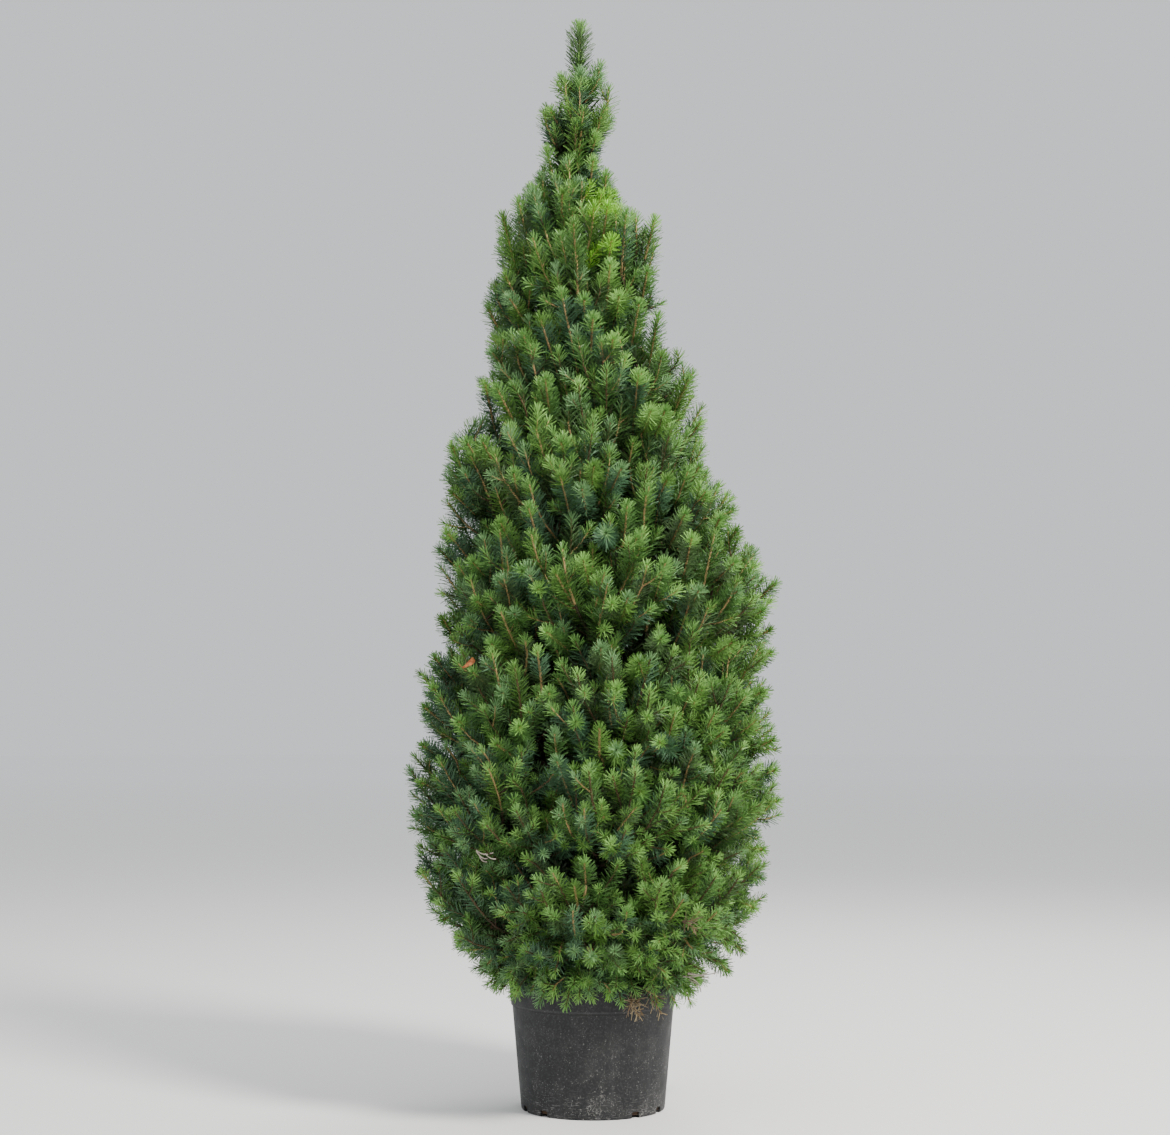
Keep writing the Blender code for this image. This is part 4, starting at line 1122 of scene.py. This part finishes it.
def add_twigs(name, twigs, materials, rng):
    """Three-sided tapered twigs; the side shoots have fewer parts."""
    parts = []
    tints = []
    draw = random.Random(name)
    for side, kept in ((False, (0, 1, 2, 3, 4, 5)), (True, (0, 2, 4, 5))):
        some = [twig for twig in twigs if (twig.kind == "side") == side]
        if not some:
            continue
        paths = np.array([twig.path for twig in some])[:, kept]
        ends = np.array([twig.thick for twig in some])
        radii = ends[:, :1] + (ends[:, 1:] - ends[:, :1]) * np.array(kept)[None, :] / 5
        points, faces = tubes(paths, radii, 3, rng.random(len(some)) * math.tau)
        parts.append((points.reshape(-1, 3), faces))
        for twig in some:
            young = draw.random()
            for k in kept[:-1]:
                tints += [TWIG_NUMBER[twig_tint(twig, k, young)]] * 3
    return joined_object(name, parts, materials, tints)


# ------------------------------------------------------------------ trunk and boughs with their bark
def bark_relief(points, scale, shift):
    """How far the bark stands out at each point, from -1 to 1: long scales with cracks between them."""
    high = []
    for x, y, z in points.tolist():
        broad = noise.noise(Vector((x * scale + shift, y * scale, z * scale * 0.3)))
        scales = noise.noise(Vector((x * scale * 2.3, y * scale * 2.3 + shift, z * scale * 0.8)))
        crack = 1 - min(1.0, abs(scales) * 5)
        high.append(0.6 * broad + 0.5 * scales - 0.7 * crack)
    return np.array(high)


def grown_tube(path, radii, sides, relief, scale, shift):
    """(points, faces) of a tube along a path, roughened along its rays by the bark's relief."""
    tube, faces = tubes(path[None], radii[None], sides, np.zeros(1))
    rays = tube[0] - path[:, None]
    high = bark_relief(tube.reshape(-1, 3), scale, shift).reshape(len(path), sides)
    return (path[:, None] + rays * (1 + relief * high)[:, :, None]).reshape(-1, 3), faces


def add_trunk(material):
    """The trunk with its root flare, from the soil to the leader's needles."""
    low = np.linspace(TRUNK_FOOT - 0.004, 0.30, 110)
    heights = np.concatenate([low, np.linspace(0.30, PLANT_HEIGHT - 0.02, 230)[1:]])
    path = trunk_path(heights)
    radii = np.array([float(trunk_radius(z)) for z in heights])
    above = heights > TRUNK_TOP
    last = radii[~above][-1], TRUNK_TIP_RADIUS
    radii[above] = np.interp(heights[above], (TRUNK_TOP, PLANT_HEIGHT), last)
    points, faces = grown_tube(path, radii * 0.97, TRUNK_SIDES, *TRUNK_BARK, 0.0)
    turn = np.tile(math.tau * np.arange(TRUNK_SIDES) / TRUNK_SIDES, len(path))
    flare = np.clip((ROOT_FLARE[0] - np.repeat(heights, TRUNK_SIDES)) / ROOT_FLARE[1], 0, 1) ** 2
    lobes = 0.08 * flare * np.cos(5 * turn + 1.1) + 0.04 * flare * np.cos(3 * turn)
    middle = np.repeat(path, TRUNK_SIDES, axis=0)
    points = middle + (points - middle) * (1 + lobes)[:, None]
    return mesh_object("trunk_bark", points, faces, [material])


def add_boughs(masses, material):
    parts = []
    for i, mass in enumerate(masses):
        foot_radius = between(BOUGH_FOOT_RADIUS, mass.share)
        stations = 1.5 * foot_radius, 1.15 * foot_radius, between(BOUGH_TIP_RADIUS, mass.share)
        fine = even_points(mass.bough, BOUGH_PARTS)
        foot = array(on_trunk(mass.start - 0.002))
        fine = np.concatenate([foot[None] * 0.7 + fine[:1] * 0.3, fine])
        radii = np.interp(np.arange(BOUGH_PARTS + 1), (0, 1, BOUGH_PARTS), stations)
        parts.append(grown_tube(fine, radii, BOUGH_SIDES, *BOUGH_BARK, float(i)))
    return joined_object("boughs", parts, [material])


# ------------------------------------------------------------------ pot and soil
def pot_wall_radius(z):
    """The radius of the pot's outer wall below the rim band."""
    wall_top = POT_RIM_RADIUS - BAND_STEP
    return POT_FOOT_RADIUS + (wall_top - POT_FOOT_RADIUS) * z / POT_HEIGHT


def pot_profile():
    """From the floor's middle up the inside, over the rounded lip and down the outside."""
    inside = [(0.0, POT_FLOOR), (0.04, POT_FLOOR)]
    inside += [(pot_wall_radius(z) - POT_WALL, z) for z in np.linspace(POT_FLOOR, BAND_FOOT, 8)]
    inside.append((POT_RIM_RADIUS - 2 * LIP_RADIUS, BAND_FOOT + BAND_STEP))
    lip_r = POT_RIM_RADIUS - LIP_RADIUS
    lip_z = POT_HEIGHT - LIP_RADIUS
    turns = np.linspace(math.pi, 0, 9)
    lip = [(lip_r + LIP_RADIUS * math.cos(a), lip_z + LIP_RADIUS * math.sin(a)) for a in turns]
    edge = 0.0004
    below = pot_wall_radius(BAND_FOOT) + BAND_STEP
    band_side = [
        (below, BAND_FOOT + 3 * edge),
        (below, BAND_FOOT + edge),
        (below - 0.3 * edge, BAND_FOOT + 0.3 * edge),
        (below - edge, BAND_FOOT),
        (pot_wall_radius(BAND_FOOT) + 0.2 * edge, BAND_FOOT - 0.2 * edge),
        (pot_wall_radius(BAND_FOOT - BAND_STEP / 2), BAND_FOOT - BAND_STEP / 2),
    ]
    wall = [(pot_wall_radius(z), z) for z in np.linspace(BAND_FOOT - 0.004, 0.004, 12)]
    foot = [
        (POT_FOOT_RADIUS - FOOT_CHAMFER * (1 - math.cos(a)), FOOT_CHAMFER * (1 - math.sin(a)))
        for a in np.linspace(0, math.pi / 2, 5)
    ]
    return inside + lip + band_side + wall + foot + [(0.05, 0.0), (0.0, 0.0)]


def notch_cutter(azimuth):
    bm = bmesh.new()
    bmesh.ops.create_cube(bm, size=1.0)
    bmesh.ops.scale(bm, vec=(2 * NOTCH_DEPTH, NOTCH_WIDTH, 2 * NOTCH_HEIGHT), verts=bm.verts)
    upper = [
        edge for edge in bm.edges
        if all(v.co.z > 0 for v in edge.verts) and abs(edge.verts[0].co.y - edge.verts[1].co.y) < 1e-6
    ]
    bmesh.ops.bevel(bm, geom=upper, offset=NOTCH_CORNER, segments=4, profile=0.5, affect="EDGES")
    cutter = bmesh_object("notch", bm)
    cutter.location = (POT_FOOT_RADIUS * math.cos(azimuth), POT_FOOT_RADIUS * math.sin(azimuth), 0.0)
    cutter.rotation_euler.z = azimuth
    return cutter


def add_pot(material):
    bm = bmesh.new()
    skin(bm, [circle(bm, r, lambda x, y: z, POT_SIDES) for r, z in pot_profile()], POT_SIDES)
    pot = bmesh_object("pot_plastic_body", bm, material)
    cutters = [notch_cutter(math.radians(a + half - 90)) for half in (0, 180) for a in NOTCH_AZIMUTHS]
    for cutter in cutters:
        cut = pot.modifiers.new("Drain notch", "BOOLEAN")
        cut.operation = "DIFFERENCE"
        cut.object = cutter
        cut.solver = "EXACT"
    mesh = bpy.data.meshes.new_from_object(pot.evaluated_get(bpy.context.evaluated_depsgraph_get()))
    pot.modifiers.clear()
    pot.data = mesh
    for cutter in cutters:
        bpy.data.objects.remove(cutter)
    return smooth_but(pot, 38)


def soil_height(x, y):
    r = math.hypot(x, y)
    base = np.interp(r, (0.0, *SOIL_MOUND, 0.090), (0, 0, -SOIL_DISH / 2, -SOIL_DISH))
    rough = 0.0016 * noise.noise(Vector((x * 90, y * 90, 0)))
    rough += 0.0009 * noise.noise(Vector((x * 260, y * 260, 5)))
    return SOIL_TOP + float(base) + rough * min(1.0, max(0.2, (0.093 - r) / 0.02))


def add_soil(material):
    """The soil's rough top, its plug down to the pot's floor, and crumbs lying on it."""
    inner = pot_wall_radius(SOIL_TOP) - POT_WALL - 2 * GAP
    bm = bmesh.new()
    rings = [circle(bm, r, soil_height, SOIL_SIDES) for r in (0.0, *np.linspace(0.012, inner, 26))]
    foot = POT_FLOOR + GAP
    low = pot_wall_radius(foot) - POT_WALL - GAP
    rings.append([bm.verts.new((low * v.co.x / inner, low * v.co.y / inner, foot)) for v in rings[-1]])
    rings.append([bm.verts.new((0, 0, foot))])
    skin(bm, rings, SOIL_SIDES)
    rng = random.Random("crumbs")
    for _ in range(CRUMBS):
        r = inner * math.sqrt(rng.uniform(0.03, 0.93))
        turn = rng.uniform(0, math.tau)
        x, y = r * math.cos(turn), r * math.sin(turn)
        size = rng.uniform(0.0007, 0.0024)
        for v in bmesh.ops.create_icosphere(bm, subdivisions=1, radius=size)["verts"]:
            v.co *= rng.uniform(0.7, 1.2)
            v.co.z *= 0.7
            v.co += Vector((x, y, soil_height(x, y) + 0.3 * size))
    return smooth_but(bmesh_object("soil_top", bm, material), 50)


def add_fallen(materials):
    """Dry needles that have dropped on the soil."""
    rng = np.random.default_rng(11)
    r = 0.088 * np.sqrt(rng.uniform(0.04, 1, FALLEN))
    turn = rng.uniform(0, math.tau, FALLEN)
    x, y = r * np.cos(turn), r * np.sin(turn)
    z = np.array([soil_height(a, b) for a, b in zip(x, y)]) + rng.uniform(0.0004, 0.0022, FALLEN)
    lie = rng.uniform(0, math.tau, FALLEN)
    way = np.stack([np.cos(lie), np.sin(lie), rng.uniform(-0.05, 0.12, FALLEN)], axis=1)
    flat = np.stack([-np.sin(lie), np.cos(lie), np.zeros(FALLEN)], axis=1)
    foot = np.stack([x, y, z], axis=1) - way * 0.005
    long = rng.uniform(0.008, 0.012, FALLEN)[:, None]
    broadest = foot + 0.4 * long * way
    tip = foot + long * way + np.array([0, 0, 0.0004])
    corners = np.stack([foot, broadest - 0.0005 * flat, tip, broadest + 0.0005 * flat], axis=1)
    corners = corners[np.hypot(corners[:, :, 0], corners[:, :, 1]).max(axis=1) < 0.0905]
    tints = np.repeat(rng.choice([TINT_NUMBER[t] for t in DRY_TINTS], len(corners)), 2)
    faces = strip_faces(len(corners))
    return mesh_object("fallen_needles", corners.reshape(-1, 3), faces, materials, tints, False)


def add_leaf(material):
    """A curled dead leaf of another plant, caught among the twigs."""
    across = unit(0.3, 0.2)
    along = unit(-0.5, -2.2)
    points = []
    for i in range(9):
        t = i / 8
        half = LEAF_SIZE[1] * math.sin(math.pi * min(1.0, 0.06 + t)) ** 0.7
        for j in range(7):
            side = j / 3 - 1
            curl = across.cross(along) * (0.0035 * side * side + 0.004 * math.sin(2.6 * t))
            points.append(LEAF_PLACE + along * (LEAF_SIZE[0] * (t - 0.5)) + across * (half * side) + curl)
    faces = [(7 * i + j, 7 * i + j + 1, 7 * i + j + 8, 7 * i + j + 7) for i in range(8) for j in range(6)]
    return mesh_object("dead_leaf", np.array([array(p) for p in points]), np.array(faces), [material])


# ------------------------------------------------------------------ materials
def new_material(name, color=(0.5, 0.5, 0.5), roughness=0.6, specular=0.4):
    material = bpy.data.materials.new(name)
    material.use_nodes = True
    inputs = material.node_tree.nodes["Principled BSDF"].inputs
    inputs["Base Color"].default_value = (*color, 1)
    inputs["Roughness"].default_value = roughness
    inputs["Specular IOR Level"].default_value = specular
    return material


class Nodes:
    """A patterned material, and short ways to add nodes to it."""

    def __init__(self, name, **looks):
        self.material = new_material(name, **looks)
        self.tree = self.material.node_tree
        self.place = self.add("TexCoord", "Object")

    def add(self, kind, output, inputs=None, **settings):
        """An output of a new node; its inputs are plain values, colours or other nodes' outputs."""
        node = self.tree.nodes.new(f"ShaderNode{kind}")
        for name, value in settings.items():
            setattr(node, name, value)
        for name, value in (inputs or {}).items():
            if isinstance(value, bpy.types.NodeSocket):
                self.tree.links.new(value, node.inputs[name])
            else:
                node.inputs[name].default_value = value
        return node.outputs if output is None else node.outputs[output]

    def axes(self):
        return self.add("SeparateXYZ", None, {0: self.place})

    def scaled(self, scale):
        return self.add("Mapping", "Vector", {"Scale": scale, "Vector": self.place})

    def noise(self, scale, detail=3.0, stretch=(1, 1, 1), roughness=0.55):
        inputs = {"Scale": scale, "Detail": detail, "Roughness": roughness, "Vector": self.scaled(stretch)}
        return self.add("TexNoise", "Fac", inputs)

    def cells(self, scale):
        return self.add("TexVoronoi", "Distance", {"Scale": scale, "Vector": self.scaled((1, 1, 1))})

    def ramp(self, value, low, high, start=0.0, end=1.0):
        inputs = {"Value": value, "From Min": low, "From Max": high, "To Min": start, "To Max": end}
        return self.add("MapRange", "Result", inputs)

    def math(self, kind, a, b=0):
        return self.add("Math", 0, {0: a, 1: b}, operation=kind)

    def near(self, value, middle, inner, outer):
        """1 where a value is near the middle, and 0 further off than outer."""
        return self.ramp(self.math("ABSOLUTE", self.math("SUBTRACT", value, middle)), inner, outer, 1.0, 0.0)

    def times(self, *values):
        product, *others = values
        for value in others:
            product = self.math("MULTIPLY", product, value)
        return product

    def mix(self, share, a, b):
        a, b = ((*c, 1) if isinstance(c, tuple) else c for c in (a, b))
        return self.add("Mix", 2, {"Factor": share, 6: a, 7: b}, data_type="RGBA")

    def layered(self, base, *layers):
        """A base with layers over it: where each lies, how strongly, and its colour."""
        for where, strength, color in layers:
            base = self.mix(self.times(where, strength), base, color)
        return base

    def dress(self, color, roughness=None, relief=None, strength=0, depth=0):
        """Links what the shader shows, and returns the material."""
        looks = {"Base Color": color}
        if relief is not None:
            normal = self.add("Bump", "Normal", {"Strength": strength, "Distance": depth, "Height": relief})
            looks |= {"Roughness": roughness, "Normal": normal}
        for name, value in looks.items():
            self.tree.links.new(value, self.tree.nodes["Principled BSDF"].inputs[name])
        return self.material


def pot_material():
    """Dark grey moulded plastic: lime specks and dust, denser low down, fine scratches and faint streaks,
    with a painted shadow under the rim band and a painted highlight on its lower edge.
    """
    n = Nodes("pot_plastic_worn_painted_shadow_and_highlight", specular=0.35)
    z = n.axes()[2]
    low = n.ramp(z, 0.0, POT_HEIGHT, 1.0, 0.25)
    dots = n.ramp(n.cells(230), 0.12, 0.20, 1.0, 0.0)
    small_dots = n.ramp(n.cells(480), 0.12, 0.24, 1.0, 0.0)
    scratches = n.times(n.ramp(n.noise(120, 2, (1, 1, 12)), 0.62, 0.68), n.ramp(z, 0.034, 0.010))
    upright = n.times(n.ramp(n.noise(150, 2, (7, 7, 1)), 0.69, 0.73), low)
    wander = n.near(n.noise(95, 3), 0.5, 0.004, 0.016)
    squiggles = n.times(wander, n.ramp(n.noise(42, 3), 0.56, 0.62), n.ramp(z, 0.085, 0.035))
    base = n.layered(
        n.mix(n.noise(24, 4), (0.0052, 0.0054, 0.0064), (0.0125, 0.0128, 0.0144)),
        (n.ramp(n.noise(420, 2), 0.50, 0.72), 0.35, (0.060, 0.060, 0.062)),
        (n.ramp(n.noise(60, 3, (1, 1, 0.06)), 0.52, 0.75), 0.22, (0.055, 0.055, 0.057)),
        (n.times(n.ramp(n.noise(38, 6, roughness=0.7), 0.48, 0.76), low), 0.40, (0.085, 0.083, 0.078)),
        (n.times(dots, n.ramp(n.noise(110, 2), 0.50, 0.56), low), 0.65, (0.24, 0.237, 0.227)),
        (n.times(small_dots, n.ramp(n.noise(75, 3), 0.46, 0.56), low), 0.6, (0.25, 0.248, 0.24)),
        (squiggles, 0.55, (0.26, 0.25, 0.235)),
        (n.math("MAXIMUM", scratches, upright), 0.5, (0.26, 0.255, 0.25)),
        # Painted shadow just under the rim band, and a painted highlight along the band's lower edge.
        (n.near(z, BAND_FOOT - 0.0006, 0.0, 0.0011), 0.85, (0.003, 0.003, 0.003)),
        (n.near(z, BAND_FOOT + 0.0016, 0.0, 0.0012), 0.35, (0.075, 0.075, 0.078)),
    )
    return n.dress(base, n.ramp(n.noise(50, 4), 0.3, 0.7, 0.50, 0.66), n.noise(900, 3), 0.16, 0.0004)


def soil_material():
    n = Nodes("potting_soil_crumbly", specular=0.15)
    pale = n.times(n.ramp(n.cells(420), 0.12, 0.2, 1.0, 0.0), n.ramp(n.noise(60), 0.55, 0.62))
    base = n.mix(n.noise(180, 6), (0.020, 0.013, 0.009), (0.085, 0.055, 0.036))
    base = n.layered(base, (pale, 0.7, (0.3, 0.26, 0.2)))
    return n.dress(base, n.ramp(n.noise(90), 0.3, 0.7, 0.85, 0.98), n.noise(520, 5), 0.5, 0.001)


def leaf_material():
    n = Nodes("leaf_dead", specular=0.25)
    base = n.mix(n.ramp(n.noise(300, 4), 0.35, 0.65), (0.16, 0.045, 0.014), (0.36, 0.12, 0.035))
    return n.dress(base, n.ramp(n.noise(200), 0.3, 0.7, 0.6, 0.8), n.noise(700, 3), 0.4, 0.0006)


def bark_material(name, dark, light):
    """Thin flaky scales, greyer on their outer faces and brown in the cracks."""
    n = Nodes(name, specular=0.2)
    flakes = n.noise(260, 5, (1, 1, 0.32))
    grey = n.ramp(n.noise(60, 3, (1, 1, 0.5)), 0.5, 0.72)
    base = n.layered(n.mix(n.ramp(flakes, 0.36, 0.66), dark, light), (grey, 0.5, (0.20, 0.175, 0.15)))
    base = n.mix(n.ramp(n.axes()[2], 0.85, 1.12), base, (0.33, 0.19, 0.085))
    return n.dress(base, n.ramp(flakes, 0.3, 0.7, 0.72, 0.92), flakes, 0.5, 0.0009)


def floor_material():
    """Pale, and far from the plant as bright as the air, so that no horizon shows."""
    n = Nodes("studio_floor", color=FLOOR_COLOR, roughness=0.85, specular=0.2)
    x, y, _ = n.axes()
    away = n.ramp(n.math("MAXIMUM", n.math("ABSOLUTE", x), n.math("ABSOLUTE", y)), *FLOOR_PALES)
    return n.dress(n.mix(away, FLOOR_COLOR, FLOOR_FAR_COLOR))


# ------------------------------------------------------------------ the whole
def settle(piece, nodes=()):
    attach(piece, "root")
    if nodes:
        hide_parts(*nodes)


def grow_plant():
    """Each tier's needles and twigs, the boughs and the trunk, and the loose things."""
    crown = Crown()
    per_metre = NEEDLES / sum(twig.clothed() * twig.leaves for twig in crown.twigs)
    needle_materials = [new_material(name, color, 0.48, 0.42) for name, color in NEEDLE_TINTS.items()]
    twig_materials = [new_material(name, color, 0.8, 0.2) for name, color in TWIG_TINTS.items()]
    for tier in range(TOP_TIER + 1):
        label = f"tier_{tier + 1}" if tier < TOP_TIER else "top"
        nodes = [mass.node for mass in crown.masses if mass.tier == tier] or ["foliage_top"]
        twigs = [twig for twig in crown.twigs if twig.tier == tier]
        rng = np.random.default_rng(100 + tier)
        needles = add_needles(f"needles_{label}", twigs, per_metre, needle_materials, rng)
        settle(needles, nodes)
        settle(add_twigs(f"twigs_{label}", twigs, twig_materials, rng))
    bark = bark_material("bark_boughs", (0.06, 0.038, 0.026), (0.16, 0.10, 0.06))
    settle(add_boughs(crown.masses, bark))
    bark = bark_material("bark_trunk", (0.050, 0.034, 0.025), (0.15, 0.10, 0.068))
    settle(add_trunk(bark), ["trunk"])
    settle(add_fallen(needle_materials))
    settle(add_leaf(leaf_material()))


def place_studio():
    """A wide pale floor, soft light from all round and a broad key light."""
    turns = math.tau * np.arange(FLOOR_SIDES) / FLOOR_SIDES
    points = FLOOR_RADIUS * np.stack([np.cos(turns), np.sin(turns), 0 * turns], axis=1)
    floor = mesh_object("studio_floor", points, np.arange(FLOOR_SIDES)[None], [floor_material()])

    world = bpy.data.worlds.new("studio_air")
    world.use_nodes = True
    sky = world.node_tree.nodes["Background"].inputs
    sky["Color"].default_value = (*AIR_COLOR, 1)
    sky["Strength"].default_value = AIR_STRENGTH
    bpy.context.scene.world = world
    for name, where, size, power, color in LIGHTS:
        light = bpy.data.lights.new(name, "AREA")
        light.shape = "DISK"
        light.size = size
        light.energy = power
        light.color = color
        lamp = linked(name, light)
        lamp.location = where
        lamp.rotation_euler = (LIGHTS_AIM - Vector(where)).to_track_quat("-Z", "Y").to_euler()

    camera = linked("camera", bpy.data.cameras.new("camera"))
    camera.location = CAMERA_PLACE
    camera.rotation_euler = (math.radians(90 + CAMERA_RISE), 0, 0)
    camera.data.lens = CAMERA_LENS
    camera.data.sensor_width = SENSOR_WIDTH
    camera.data.clip_end = VIEW_LIMIT
    bpy.context.scene.camera = camera


place_studio()
settle(add_pot(pot_material()), ["pot"])
settle(add_soil(soil_material()), ["soil"])
grow_plant()
